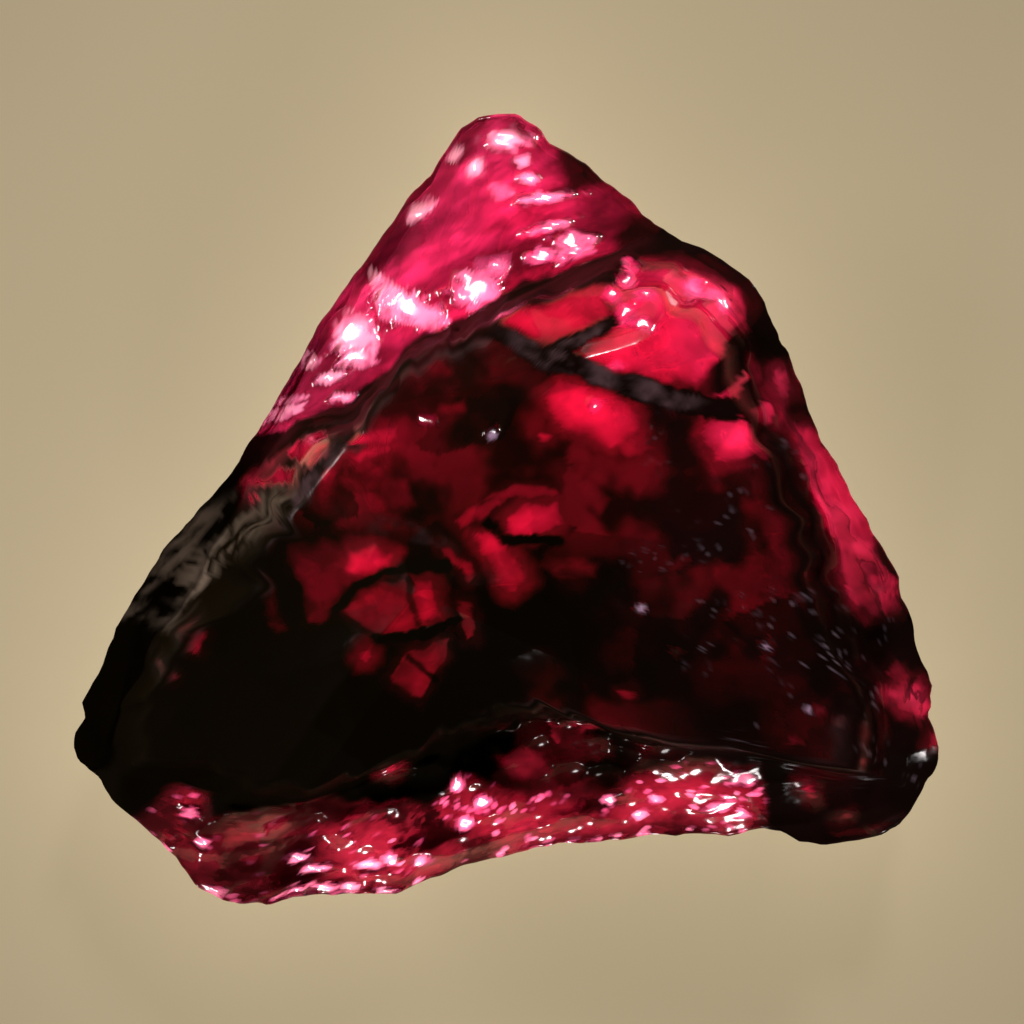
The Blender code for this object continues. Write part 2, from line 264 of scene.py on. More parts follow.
def rim_values(x, y):
    """Wall height, margin slope and step width, read off RIM by direction from the centre."""
    way = np.degrees(np.arctan2(y - CENTRE[1], x - CENTRE[0]))
    degrees = np.concatenate([RIM[:, 0] - 360, RIM[:, 0], RIM[:, 0] + 360])
    return [np.interp(way, degrees, np.tile(RIM[:, k], 3)) for k in (1, 2, 3)]


def margin_height(x, y, inset):
    """The lower of the rising lip and the flat plate, each with long and short chips."""
    wall, slope, _ = rim_values(x, y)
    lip = back_faces(x, y) + wall + slope * inset + CHIP_LIFT
    worn = 0.8 - 0.5 * fade(1.5, 4.5, x)
    lip = lip + worn * chips(x, y, 1.1, 1.1, 43, tilt=0.2, depth=0.15, turn=0.2, stretch=1.4)
    lip = lip + worn * chips(x, y, 0.40, 0.30, 47, tilt=0.25, depth=0.03, turn=0.3, stretch=1.4)
    (px, py), (nx, ny), height, rise = PLATE_FACE
    plate = height + rise * ((x - px) * nx + (y - py) * ny) + CHIP_LIFT
    plate = plate + 0.4 * chips(x, y, 1.0, 1.6, 41, tilt=0.2, depth=0.10, turn=0.9, stretch=1.8)
    plate = plate + 0.2 * chips(x, y, 0.5, 0.9, 49, tilt=0.15, depth=0.03, turn=0.3, stretch=2.0)
    return np.minimum(lip, plate)


plate_middle = np.array([[-2.6], [3.2]])
thickness = margin_height(*plate_middle, np.array([1.0])) - back_faces(*plate_middle)
print("the plate is %.2f mm thick at its middle" % thickness[0])

# %% [markdown]
# ## The thick body
# From the narrow end the eye meets a ledge, then the dark body with its peak near the middle.
# The body is the lowest of six planes.  Large shallow chips cover it, and three dark veins of
# another mineral stand a little proud, because they are harder than the crystal round them.

# %% Body
BODY_LIFT = -0.30                   # puts the chipped body about level with its planes


def body_height(x, y):
    """Lowest of the planes, plus chips of three sizes, plus a raised cosine over each vein."""
    dx, dy = x - CENTRE[0], y - CENTRE[1]
    body = np.minimum.reduce([PEAK + gx * dx + gy * dy for gx, gy in PEAK_FACES]
                             + [h + gx * (x - px) + gy * (y - py)
                                for h, px, py, gx, gy in OTHER_FACES])
    wx, wy = bent(x, y, 0.15, 1.6, 3, 6)
    body = body + chips(wx, wy, 3.0, 6.5, 11, tilt=0.11, depth=0.3) + BODY_LIFT
    body = body + 0.3 * chips(wx, wy, 1.25, 2.6, 31, tilt=0.10, depth=0.10, turn=0.4, stretch=1.4)
    body = body + 0.15 * chips(wx, wy, 0.46, 0.8, 37, tilt=0.12, depth=0.02, turn=0.2, stretch=1.7)
    for half_width, height, path in VEINS:
        away, along = path_distance(wx, wy, path)
        uneven = 1 + 0.3 * wander(x, y, 0.4, 15)
        width = half_width * (0.7 + 0.5 * np.sin(np.pi * along)) * uneven
        body = body + height * (0.5 + 0.5 * np.cos(np.pi * np.clip(away / width, 0, 1)))
    return body


print("the body is %.2f mm high over its centre" % body_height(*CENTRE[:, None])[0])

# %% [markdown]
# ## One closed surface
# The stone is a grid of rings and meridians, as on a globe.  The rings start under the centre,
# run out over the back, climb the side wall, come in over the margin, climb the ledge and close
# on the peak.  More rings lie where the detail is.  A voxel remesh of separate lumps would also
# give one skin, but it would round off every ridge.

# %% The grid of rings and meridians
MERIDIANS = 480
RINGS = {"back": 31, "wall": 12, "margin": 51, "step": 16, "body": 96}
CROWDING = 1.25                     # above 1 the rings of the back lie closer near the wall
FARTHEST_FOOT, LEAST_STEP = 0.985, 0.02     # shares of the way out
STEEP_SIDE, HOLLOW, BULGE = 2.0, 0.11, 0.08     # mm: a steep side's height, hollows and bulge


def outline_points(count):
    """Points at equal steps along the outline, moved in or out by up to a hundredth of the way."""
    pts = np.vstack([OUTLINE, OUTLINE[:1]])
    before = np.concatenate([[0], np.cumsum(np.hypot(*np.diff(pts, axis=0).T))])
    at = np.linspace(0, before[-1], count, endpoint=False)
    x, y = np.interp(at, before, pts[:, 0]), np.interp(at, before, pts[:, 1])
    ragged = 1 + 0.006 * wander(x, y, 0.5, 71) + 0.004 * wander(x, y, 0.19, 72)
    return CENTRE + (np.column_stack([x, y]) - CENTRE) * ragged[:, None]


def reach_of(path, rim):
    """How far along each line from the centre to the rim it crosses a closed path."""
    ends = np.roll(path, -1, axis=0) - path
    start = path - CENTRE
    ray = (rim - CENTRE)[:, None, :]
    cross = ray[..., 0] * ends[:, 1] - ray[..., 1] * ends[:, 0]
    reach = (start[:, 0] * ends[:, 1] - start[:, 1] * ends[:, 0]) / cross
    along = (start[:, 0] * ray[..., 1] - start[:, 1] * ray[..., 0]) / cross
    hit = (along > -1e-6) & (along < 1 + 1e-6) & (reach > 0)
    return np.where(hit, reach, 0).max(axis=1)


def ring_reaches(rim):
    """Share of the way out for every ring (rows) and meridian (columns), with its part.

    The parts are 0 back, 1 wall, 2 front.  The other two arrays are the way up the side wall and
    the way up the step to the body, from 0 to 1.
    """
    out = np.ones(len(rim))
    foot = reach_of(FOOT, rim) + 0.012 * wander(*rim.T, 0.4, 81)
    foot = np.minimum(foot, FARTHEST_FOOT)
    step = rim_values(*rim.T)[2] * (1 + 0.3 * wander(*rim.T, 0.6, 82))
    top = np.minimum(foot - step / np.hypot(*(rim - CENTRE).T), foot - LEAST_STEP)
    n = RINGS
    crowd = 1 - (1 - np.arange(1, n["back"] + 1) / n["back"]) ** CROWDING
    rows = [crowd[:, None] * out, np.ones((n["wall"], 1)) * out]
    for name, start, end in (("margin", out, foot), ("step", foot, top), ("body", top, 0 * out)):
        share = np.arange(n[name])[:, None] / n[name]
        rows.append(start * (1 - share) + end * share)
    part = np.repeat([0, 1, 2, 2, 2], [n[k] for k in RINGS])[:, None]
    lift = np.where(part == 0, 0.0, 1.0)
    lift[n["back"]:n["back"] + n["wall"], 0] = np.arange(1, n["wall"] + 1) / (n["wall"] + 1)
    reach = np.concatenate(rows)
    return reach, part, lift, fade(0, 1, (foot - reach) / (foot - top))


def hollows(rim, up, seed):
    """How far in a steep side lies, in mm: two wanders over it, times a sine of the way up."""
    length = np.cumsum(np.hypot(*(rim - np.roll(rim, 1, axis=0)).T))
    height = STEEP_SIDE * up
    uneven = 0.9 + wander(length, height, 1.1, seed) + 0.6 * wander(length, height, 0.45, seed + 1)
    return HOLLOW * uneven * np.sin(np.pi * up)


rim = outline_points(MERIDIANS)
reach, part, lift, up_the_step = ring_reaches(rim)
on_back, on_wall, on_front = [part == k for k in range(3)]
step_sunk = hollows(rim, up_the_step, 88) - BULGE * np.sin(np.pi * up_the_step)
sunk = on_wall * hollows(rim, lift, 85) + on_front * step_sunk
reach = reach - sunk / np.hypot(*(rim - CENTRE).T)
X = CENTRE[0] + reach * (rim[:, 0] - CENTRE[0])
Y = CENTRE[1] + reach * (rim[:, 1] - CENTRE[1])
inset = np.where(on_wall, 0.0, path_distance(X, Y, OUTLINE, closed=True)[0])
print("grid of", reach.shape[0], "rings and", reach.shape[1], "meridians")

# %% Heights over the grid
low = back_height(X, Y, inset)
margin = margin_height(X, Y, inset)
high = np.maximum(margin + (body_height(X, Y) - margin) * up_the_step, low + LEAST_THICKNESS)
print("front from %.2f to %.2f mm high" % (high.min(), high.max()))

# %% [markdown]
# ## Small facets that catch the light
# The white flashes are tiny flat breaks that happen to mirror a lamp.  White paint alone would
# stay white from every side.  So each flash here is a real facet, turned to the direction half
# way between a lamp and the viewer, and it flashes as the real one does.  The film on and round
# each facet is also painted pale, a painted highlight that shows from every side.

# %% Lamps and facets
LAMPS = {"main": (162, 12), "upper": (77, 41), "low": (-98, 18)}     # degrees round, degrees up
FACET_BOWL = 0.2                    # mm that a facet rises 1 mm away from its middle


def lamp_direction(name):
    """Unit vector to a lamp, from its degrees round from +X and degrees up from the table."""
    way, up = np.radians(LAMPS[name])
    return np.array([np.cos(up) * np.cos(way), np.cos(up) * np.sin(way), np.sin(up)])


def facet_rise(name):
    """Rise per mm along x and y of a plane that mirrors the lamp to a viewer straight above."""
    half_way = lamp_direction(name) + (0, 0, 1)
    return -half_way[:2] / half_way[2]


# Centre x, y, half length, half width in mm, degrees turned, by the lamp they mirror
FACETS = {
    "upper": [   # narrow end and plate, the clear corner above the long vein, then scattered
        (0.04, 6.50, 0.28, 0.14, 5), (-0.49, 6.04, 0.12, 0.11, 0), (0.35, 6.10, 0.11, 0.08, 0),
        (0.70, 5.43, 0.35, 0.07, 5), (0.84, 4.92, 0.30, 0.07, 12), (1.19, 4.59, 0.26, 0.19, 20),
        (1.47, 4.69, 0.11, 0.09, 0), (0.70, 4.41, 0.21, 0.11, 10), (-0.46, 3.82, 0.32, 0.23, 20),
        (-0.67, 4.06, 0.11, 0.09, 0), (-1.61, 3.50, 0.49, 0.18, -25),
        (-2.63, 3.04, 0.28, 0.26, 60), (-3.47, 2.62, 0.11, 0.11, 0),
        (-2.60, 2.66, 0.25, 0.11, 10), (-1.51, 5.25, 0.18, 0.12, 30),
        (-0.14, 4.24, 0.16, 0.09, 0), (-3.05, 2.31, 0.25, 0.07, 15), (-2.79, 1.94, 0.16, 0.06, 0),
        (-0.84, 6.27, 0.12, 0.08, 40), (0.46, 5.78, 0.14, 0.07, 0), (2.14, 4.13, 0.11, 0.14, 0),
        (1.84, 3.61, 0.12, 0.14, 0), (2.11, 3.92, 0.12, 0.18, 0), (2.40, 3.62, 0.14, 0.11, 0),
        (3.23, 3.73, 0.14, 0.16, 0), (3.60, 3.64, 0.12, 0.08, 0), (3.75, 3.48, 0.11, 0.11, 0),
        (2.07, 3.25, 0.16, 0.16, 0), (2.33, 3.08, 0.14, 0.11, -30), (1.89, 2.36, 0.16, 0.06, 0),
        (1.54, 1.68, 0.10, 0.08, 0), (2.30, -1.69, 0.10, 0.08, 0), (-0.19, 1.25, 0.10, 0.08, 0),
        (4.93, -3.94, 0.14, 0.05, -20), (5.33, -3.43, 0.11, 0.08, 0),
        (4.44, -2.36, 0.11, 0.11, 0), (2.88, -2.41, 0.10, 0.08, 0), (-1.30, 1.46, 0.10, 0.08, 0)],
    "low": [   # lower band
        (-5.26, -5.85, 0.12, 0.09, 0), (-5.46, -5.34, 0.12, 0.09, 0),
        (-5.09, -6.76, 0.14, 0.09, -40), (-3.67, -6.83, 0.12, 0.11, 0),
        (-3.21, -6.80, 0.21, 0.09, 10), (-2.74, -6.80, 0.18, 0.07, 0),
        (-2.12, -6.87, 0.16, 0.07, 0), (-2.39, -6.36, 0.21, 0.07, 0),
        (-2.05, -6.25, 0.10, 0.08, 0), (-1.46, -6.29, 0.11, 0.08, 0),
        (-3.67, -6.22, 0.14, 0.09, 0), (-3.40, -6.43, 0.21, 0.07, 0),
        (-0.37, -5.22, 0.12, 0.12, 0), (-0.70, -5.62, 0.12, 0.11, 0),
        (-0.82, -4.90, 0.10, 0.14, 30), (4.28, -4.80, 0.16, 0.09, 0),
        (3.84, -5.32, 0.21, 0.07, 10), (4.23, -5.45, 0.11, 0.08, 0), (2.67, -5.18, 0.10, 0.08, 0),
        (1.86, -5.20, 0.10, 0.08, 0), (2.40, -5.48, 0.11, 0.08, 0)],
}


def cut_facets(x, y, z, facets, rise):
    """Tilt the surface to one plane, a little hollow, inside each ellipse.

    The second value is 1 on a facet and fades to 0 round it.
    """
    z, flash = z.copy(), np.zeros_like(z)
    for cx, cy, half_length, half_width, turn in facets:
        c, s = np.cos(np.radians(turn)), np.sin(np.radians(turn))
        dx, dy = x - cx, y - cy
        r = np.hypot((c * dx + s * dy) / half_length, (c * dy - s * dx) / half_width)
        r = r * (1 + 0.4 * wander(x, y, 0.10, 91))
        middle = z.flat[np.argmin(np.where(on_front, np.hypot(dx, dy), FAR))]
        plane = middle + rise[0] * dx + rise[1] * dy + FACET_BOWL * (dx * dx + dy * dy)
        z = z + (1 - fade(1.0, 1.7, r)) * (plane - z)
        flash = np.maximum(flash, 1 - fade(0.7, 1.5, r))
    return z, flash


flash = np.zeros_like(high)
for name, facets in FACETS.items():
    high, here = cut_facets(X, Y, high, facets, facet_rise(name))
    flash = np.maximum(flash, here * on_front)
high = np.maximum(high, low + LEAST_THICKNESS)
Z = low + (high - low) * lift
on_step = (up_the_step > 0) & (up_the_step < 1)
drop = np.where(on_wall, (high - low) * (1 - lift), on_step * (Z[-RINGS["body"]] - Z))
drop = drop / np.hypot(X - CENTRE[0], Y - CENTRE[1])
U, V = X + drop * (X - CENTRE[0]), Y + drop * (Y - CENTRE[1])      # steep sides unrolled
print(sum(len(f) for f in FACETS.values()), "facets")

# %% [markdown]
# ## Clear windows in the dark skin
# The body is full of black inclusions near its surface.  Where they are missing, light comes
# through and the stone glows.  An image could carry this, but it would not belong to the shape.
# Here every window is a closed corner list on the stone with a clearness, and its sides are
# bent by the cloud formula so that no side is straight.

# %% Windows: clearness, soft width in mm, then x and y of each corner
WINDOWS = [
    # left middle
    (0.15, 0.07, -3.65, -0.61, -2.93, -0.52, -2.23, -0.55, -1.81, -0.78, -1.88, -0.97,
     -2.35, -1.20, -2.70, -1.55, -3.05, -1.92, -3.30, -1.92, -3.42, -1.32, -3.70, -0.92),
    (0.95, 0.12, -2.58, -0.66, -2.21, -0.59, -1.82, -0.78, -1.89, -0.97, -2.32, -1.15,
     -2.67, -1.13),
    (0.30, 0.08, -2.65, -1.68, -2.23, -1.32, -1.16, -1.15, -1.00, -1.92, -1.63, -2.15,
     -2.11, -2.15),
    (0.75, 0.06, -1.51, -1.27, -1.19, -1.17, -1.02, -1.83, -1.30, -1.90, -1.47, -1.62),
    (0.70, 0.04, -2.30, -1.48, -2.09, -1.45, -2.04, -1.66, -2.25, -1.69),
    (0.30, 0.03, -1.93, -2.82, -1.51, -2.34, -0.91, -2.10, -0.95, -2.52, -1.39, -3.22,
     -1.74, -3.03),
    (0.50, 0.04, -1.47, -2.46, -1.12, -2.25, -1.02, -2.50, -1.30, -2.75),
    (0.75, 0.03, -2.42, -2.34, -2.26, -2.32, -2.21, -2.46, -2.35, -2.55, -2.44, -2.46),
    (0.32, 0.04, -0.77, -1.48, -0.63, -1.55, -0.47, -2.15, -0.60, -2.22, -0.74, -1.83),
    (0.40, 0.04, -1.02, -0.66, -0.84, -0.66, -0.46, -1.13, -0.60, -1.22),
    (0.12, 0.10, -4.18, -1.01, -3.89, -1.18, -3.63, -2.01, -3.81, -2.18, -4.14, -1.62),
    (0.22, 0.06, -5.56, -1.97, -5.25, -1.83, -5.09, -2.11, -5.19, -2.46, -5.51, -2.32),
    (0.22, 0.05, -6.02, -2.46, -5.82, -2.59, -5.54, -2.89, -5.65, -2.99, -5.93, -2.75),
    # middle
    (0.85, 0.05, -0.46, -0.45, -0.04, -0.38, 0.39, -1.24, 0.21, -1.38, 0.02, -1.32),
    (0.15, 0.10, 0.46, -0.96, 0.72, -0.78, 1.33, -0.75, 1.68, -0.96, 1.51, -1.24, 0.77, -1.27),
    (0.90, 0.05, 0.02, -0.22, 0.26, 0.01, 0.84, 0.08, 0.95, -0.29, 0.46, -0.46, 0.14, -0.46),
    (0.50, 0.05, -0.81, -0.22, -0.60, 0.03, -0.07, 0.17, 0.00, 0.03, -0.35, -0.15, -0.67, -0.39),
    (0.45, 0.05, -0.42, 0.13, 0.07, 0.34, 0.72, 0.38, 0.98, 0.13, 0.63, 0.20, 0.02, 0.13),
    (0.16, 0.12, -1.07, 0.55, -0.84, 0.66, -0.53, 0.13, -0.53, -0.15, -0.95, -0.15),
    (0.05, 0.20, -1.56, 1.54, -0.60, 1.36, -0.07, 0.66, -0.60, 0.13, -1.30, 0.66),
    (0.18, 0.12, 0.98, 0.57, 1.51, 0.52, 1.89, 0.13, 1.68, -0.22, 1.16, 0.04),
    (0.12, 0.05, 2.65, -0.92, 3.09, -0.80, 3.12, -0.96, 2.77, -1.13),
    # under the left end of the ledge
    (0.14, 0.15, -3.02, 0.64, -2.32, 0.59, -1.51, 0.55, -1.33, -0.11, -1.96, -0.08, -2.67, 0.20),
    (1.00, 0.05, -2.81, 1.11, -2.32, 1.29, -1.75, 1.39, -1.79, 1.18, -2.32, 1.04, -2.70, 0.96),
    (0.80, 0.05, -2.56, 0.80, -1.96, 1.04, -1.89, 0.94, -2.42, 0.69),
    (1.00, 0.07, -3.93, 1.01, -3.51, 1.29, -3.12, 1.25, -2.81, 0.80, -2.98, 0.55, -3.54, 0.69),
    (0.80, 0.06, -4.32, 0.55, -3.93, 0.73, -3.51, 0.59, -3.61, 0.34, -4.25, 0.31),
    (0.60, 0.06, -4.58, 0.59, -4.19, 0.55, -4.18, 0.31, -4.51, 0.31),
    (0.80, 0.03, -4.46, 0.18, -4.26, 0.18, -4.26, 0.04, -4.46, 0.04),
    (0.25, 0.08, -1.12, 1.85, -0.67, 1.80, -0.63, 1.54, -1.04, 1.54),
    (0.14, 0.10, -1.75, 0.13, -1.47, 0.17, -1.33, -0.08, -1.65, -0.11),
    # above and below the long vein
    (1.00, 0.08, 1.81, 3.64, 2.12, 4.03, 2.82, 4.20, 3.44, 4.08, 4.05, 3.82, 4.23, 3.43,
     3.82, 2.76, 3.26, 2.03, 2.56, 2.10, 1.81, 2.24, 1.25, 2.48, 1.51, 2.76, 1.81, 3.13),
    (0.70, 0.10, -0.28, 3.25, 0.19, 3.36, 1.05, 3.64, 1.63, 3.82, 1.89, 3.82, 1.77, 3.20,
     1.25, 2.90, 0.89, 2.73, 0.46, 2.76, -0.07, 3.04),
    (0.90, 0.08, 0.63, 1.85, 0.95, 2.06, 1.51, 1.99, 2.12, 1.75, 2.28, 1.32, 1.81, 1.01,
     1.07, 1.32, 0.77, 1.61),
    (0.35, 0.10, 1.68, 1.25, 2.35, 1.39, 2.53, 0.97, 2.12, 0.73),
    (0.65, 0.03, 0.61, 1.29, 0.79, 1.31, 0.82, 1.15, 0.65, 1.11),
    (0.06, 0.15, 2.39, 1.54, 2.82, 1.45, 2.91, 1.01, 2.47, 1.01),
    # right shoulder and right edge
    (1.00, 0.03, 3.54, 1.82, 3.79, 2.03, 4.11, 2.34, 4.19, 2.24, 3.96, 1.96, 3.65, 1.73),
    (1.00, 0.05, 4.23, 1.69, 4.35, 1.85, 4.54, 1.85, 4.67, 1.69, 4.63, 1.50, 4.46, 1.39,
     4.28, 1.48),
    (1.00, 0.06, 3.30, 1.18, 3.47, 1.54, 4.00, 1.59, 4.28, 1.22, 4.14, 0.83, 3.58, 0.76),
    (0.70, 0.06, 4.07, 1.36, 4.53, 1.22, 4.49, 0.80, 4.11, 0.83),
    (1.00, 0.04, 4.60, 2.31, 4.84, 2.31, 4.95, 1.99, 4.81, 1.92, 4.63, 2.10),
    (0.74, 0.05, 4.95, 1.54, 5.30, 1.45, 5.81, 0.66, 6.35, -0.39, 6.60, -1.18, 6.21, -0.92,
     5.86, -0.85, 5.46, -0.22, 5.19, 0.66),
    (0.60, 0.06, 5.72, -0.57, 6.07, -0.66, 6.77, -1.27, 6.88, -1.80, 6.32, -1.90, 5.93, -1.55),
    (0.50, 0.03, 5.12, -1.11, 5.30, -1.11, 5.30, -1.27, 5.12, -1.27),
    (0.95, 0.06, 6.63, -3.20, 6.88, -3.03, 7.19, -3.03, 7.47, -3.45, 7.26, -3.66, 6.88, -3.52),
    (0.35, 0.08, 6.60, -2.82, 6.81, -2.61, 6.98, -2.68, 7.12, -3.03, 6.88, -3.10),
    (0.60, 0.04, 7.33, -3.87, 7.54, -3.94, 7.51, -4.22, 7.33, -4.15),
    (0.09, 0.25, 3.96, 0.83, 5.19, 0.66, 5.89, -0.57, 5.72, -2.32, 4.84, -1.62, 4.23, -0.57),
    (0.05, 0.20, 5.19, -3.38, 6.07, -3.46, 6.07, -4.43, 5.37, -4.43),
    (0.14, 0.04, 5.51, -3.59, 5.86, -3.55, 5.89, -3.76, 5.58, -3.80),
    # above the lower band
    (0.45, 0.04, 5.25, -4.89, 5.40, -4.99, 5.51, -5.13, 5.39, -5.10, 5.26, -4.99),
    (0.40, 0.03, 5.86, -5.45, 6.04, -5.34, 6.00, -5.45),
    (0.14, 0.12, 5.81, -3.64, 6.28, -3.59, 6.35, -3.99, 6.04, -4.17),
    (0.45, 0.03, 6.04, -4.25, 6.18, -4.27, 6.18, -4.39, 6.05, -4.39),
    (0.12, 0.08, 5.65, -5.69, 6.42, -5.59, 7.04, -5.27, 7.21, -5.39, 6.60, -5.76, 5.89, -5.87),
    (0.02, 0.30, 2.56, -0.92, 3.79, -1.10, 4.49, -2.32, 3.44, -3.03, 2.39, -1.97),
    (0.06, 0.15, 0.54, -3.76, 1.21, -3.66, 2.16, -4.17, 2.04, -4.57, 0.98, -4.64),
    (0.25, 0.04, 0.86, -3.76, 1.33, -3.66, 1.39, -3.83, 0.98, -3.89),
    (0.10, 0.10, -0.25, -4.43, 0.46, -4.11, 0.98, -4.43, 0.98, -4.96, 0.11, -4.96),
    (0.55, 0.03, -2.21, -4.64, -1.98, -4.52, -1.82, -4.57, -1.96, -4.68),
    (0.35, 0.04, 1.96, -3.10, 2.12, -3.08, 2.14, -3.24, 2.00, -3.24),
]
# Clear plate above the ledge and the granular lower band
LEDGE = [(-5.40, 0.55), (-4.42, 1.18), (-3.63, 1.52), (-2.70, 1.82), (-2.14, 2.27), (-1.58, 2.92),
         (-1.02, 3.15), (-0.37, 3.52), (0.49, 3.94), (1.05, 4.10), (2.04, 4.43)]
PLATE = LEDGE + [(3.2, 5.0), (1.5, 6.8), (0.0, 7.6), (-2.2, 6.6), (-6.4, 0.2)]
BAND = [
    (-5.60, -4.61), (-5.25, -4.69), (-5.05, -5.34), (-4.28, -5.15), (-3.07, -5.08), (-2.79, -5.27),
    (-1.82, -5.31), (-0.98, -5.08), (-0.74, -4.64), (-0.07, -4.96), (0.72, -5.13), (1.68, -5.11),
    (2.39, -4.69), (3.18, -4.39), (4.25, -4.54), (4.60, -4.87), (4.61, -5.94), (1.68, -6.18),
    (-0.07, -6.71), (-1.82, -7.15), (-5.33, -7.32), (-6.91, -5.83)]
SHADED = [(0.84, 6.45), (1.25, 5.39), (1.68, 4.90), (2.21, 4.31), (3.44, 4.31), (3.26, 4.96),
          (2.39, 5.48), (1.33, 6.45)]
print(len(WINDOWS), "windows with", sum(len(w) // 2 - 1 for w in WINDOWS), "corners")

# %% Dark veins, cracks and a painted shadow under the ledge: half width in mm at the start and the end, darkness, path
CRACKS = [
    # The entry along LEDGE is no crack: it is the painted shadow of the step under the ledge
    (0.12, 0.15, 1.0, LONG_VEIN), (0.09, 0.06, 1.0, SIDE_VEIN), (0.30, 0.38, 0.85, LEDGE),
    (0.05, 0.05, 0.9, [(-2.88, -1.73), (-2.72, -1.59), (-2.35, -1.27), (-1.96, -1.10),
                       (-1.30, -1.03), (-0.91, -0.92)]),
    (0.04, 0.04, 0.9, [(-2.11, -2.20), (-1.63, -2.18), (-0.98, -1.96), (-0.77, -1.83)]),
    (0.03, 0.03, 0.6, [(-1.58, -1.24), (-1.51, -1.62), (-1.40, -1.94)]),
    (0.03, 0.03, 0.7, [(-1.56, -2.50), (-1.12, -2.89)]),
    (0.05, 0.04, 0.9, [(0.91, -0.57), (0.42, -0.52), (0.02, -0.57), (-0.25, -0.22)]),
]
# Faint light in the skin itself: x, y, radius in mm, clearness
BLUSHES = [(-1.3, 1.9, 1.8, 0.24), (0.9, 0.3, 1.5, 0.14), (5.0, -2.0, 2.2, 0.07),
           (-3.0, 0.9, 1.4, 0.12), (4.4, 1.2, 1.4, 0.17), (5.6, -4.4, 1.3, 0.07),
           (-3.6, 1.1, 1.0, 0.28), (-2.6, -0.3, 1.2, 0.05), (1.2, -4.4, 1.5, 0.16),
           (2.9, -1.2, 1.6, 0.06), (3.0, 0.5, 1.3, 0.05)]
DIM_CORE, FRINGE, GAIN = 0.50, 0.16, 1.15       # shares of a window's clearness
CRACK_EDGE = 0.06                               # mm over which a crack fades out


def window_light(x, y, u, v):
    """Clearness from 0 to 1: the highest of the blush and all windows, times 1 less each crack.

    Each window is brightest in its core and has a dim fringe.  The windows lie on x and y, and
    the angular patches of the blush on the unrolled u and v.
    """
    wx = x + 0.10 * cloud(x, y, 0.60, 5) + 0.07 * cloud(x, y, 0.18, 7)
    wy = y + 0.10 * cloud(x, y, 0.60, 6) + 0.07 * cloud(x, y, 0.18, 8)
    long_way, across = turned(u + wx - x, v + wy - y, 0.25, 1.6)
    patches = 0.30 + 0.70 * shards(long_way, across, 0.85, 101)[0]
    mottled = patches * (0.35 + 0.65 * fade(-0.4, 0.4, cloud(u, v, 0.6, 31)))
    clear = mottled * sum(k * np.exp(-((x - cx) ** 2 + (y - cy) ** 2) / r ** 2)
                          for cx, cy, r, k in BLUSHES)
    uneven = (0.72 + 0.28 * fade(-0.4, 0.4, cloud(u, v, 0.42, 41))
              - 0.22 * shards(long_way, across, 0.30, 111)[0])
    for strength, soft, *corners in WINDOWS:
        s = inside_distance(wx, wy, np.reshape(corners, (-1, 2)))
        core = DIM_CORE + (1 - DIM_CORE) * fade(-0.02, 0.30, s)
        fringe = FRINGE * strength * fade(-0.40, 0.0, s)
        window = GAIN * strength * core * uneven * fade(-soft, soft, s)
        clear = np.maximum(clear, np.maximum(window, fringe))
    for start, end, dark, path in CRACKS:
        away, along = path_distance(wx, wy, path)
        half_width = (start + (end - start) * along) * (1 + 0.3 * cloud(x, y, 0.45, 47))
        clear = clear * (1 - dark * (1 - fade(half_width, half_width + CRACK_EDGE, away)))
    return np.clip(clear, 0, 1)


clear = window_light(X, Y, U, V)
front_rings = on_front[:, 0]
print("%.2f of the front's points are clear" % (clear[front_rings] > 0.1).mean())

# %% [markdown]
# ## Plate, lower band and skin
# The plate is clear all over but streaky, and the lower band is a mass of tiny broken grains.
# Everywhere else a dark skin covers what is not clear.  It could be one clear shader with a
# black film, but clear crystal always mirrors its surroundings, and this skin is nearly matte.
# So the skin is a second, dull shader, and a value on every point says how much of it shows.

# %% Where plate, shade and band are
on_margin = 1 - fade(0.0, 0.04, up_the_step)
plate_edge = inside_distance(*bent(X, Y, 0.12, 0.35, 16, 17), PLATE)
on_plate = fade(-0.02, 0.10, plate_edge) * on_margin
in_shade = fade(-0.15, 0.10, inside_distance(X + 0.1 * cloud(X, Y, 0.6, 9), Y, SHADED))
band_edge = inside_distance(X + 0.15 * cloud(X, Y, 0.5, 12),
                            Y + 0.22 * cloud(X, Y, 0.45, 13), BAND)
on_band = fade(-0.10, 0.12, band_edge) * on_margin
print("plate %.2f, band %.2f of the front's points" % (on_plate[front_rings].mean(),
                                                       on_band[front_rings].mean()))

# %% Clearness of plate and band
# The film squares a clearness, so what stands under each root is a share of the light
u, v = turned(U, V, 0.5, 2.6)
patches = fade(-0.35, 0.35, cloud(u, v, 0.75, 151))
streaks = fade(-0.3, 0.35, cloud(u, v, 0.24, 157))
fine = fade(-0.3, 0.3, cloud(u, v, 0.10, 155))
plate_clear = np.sqrt(0.03 + 0.08 * patches + 0.18 * streaks * patches + 0.03 * streaks)
plate_clear = plate_clear * (0.75 + 0.4 * fine)
plate_clear = plate_clear * (1 - 0.9 * in_shade * fade(-0.5, 0.1, cloud(u, v, 0.5, 159)))
u, v = turned(U + 0.05 * cloud(X, Y, 0.3, 14), V + 0.05 * cloud(X, Y, 0.3, 15), 0.3, 1.7)
grain, grain_core = shards(u, v, 0.065, 161)
lump, veil = shards(u, v, 0.55, 171)[0], fade(-0.5, 0.3, cloud(u, v, 0.8, 175))
band_clear = np.sqrt(0.003 + 0.047 * lump * veil + 0.041 * veil * grain ** 2)
band_clear = band_clear * (0.40 + 0.60 * fade(0.0, 0.7, band_edge))
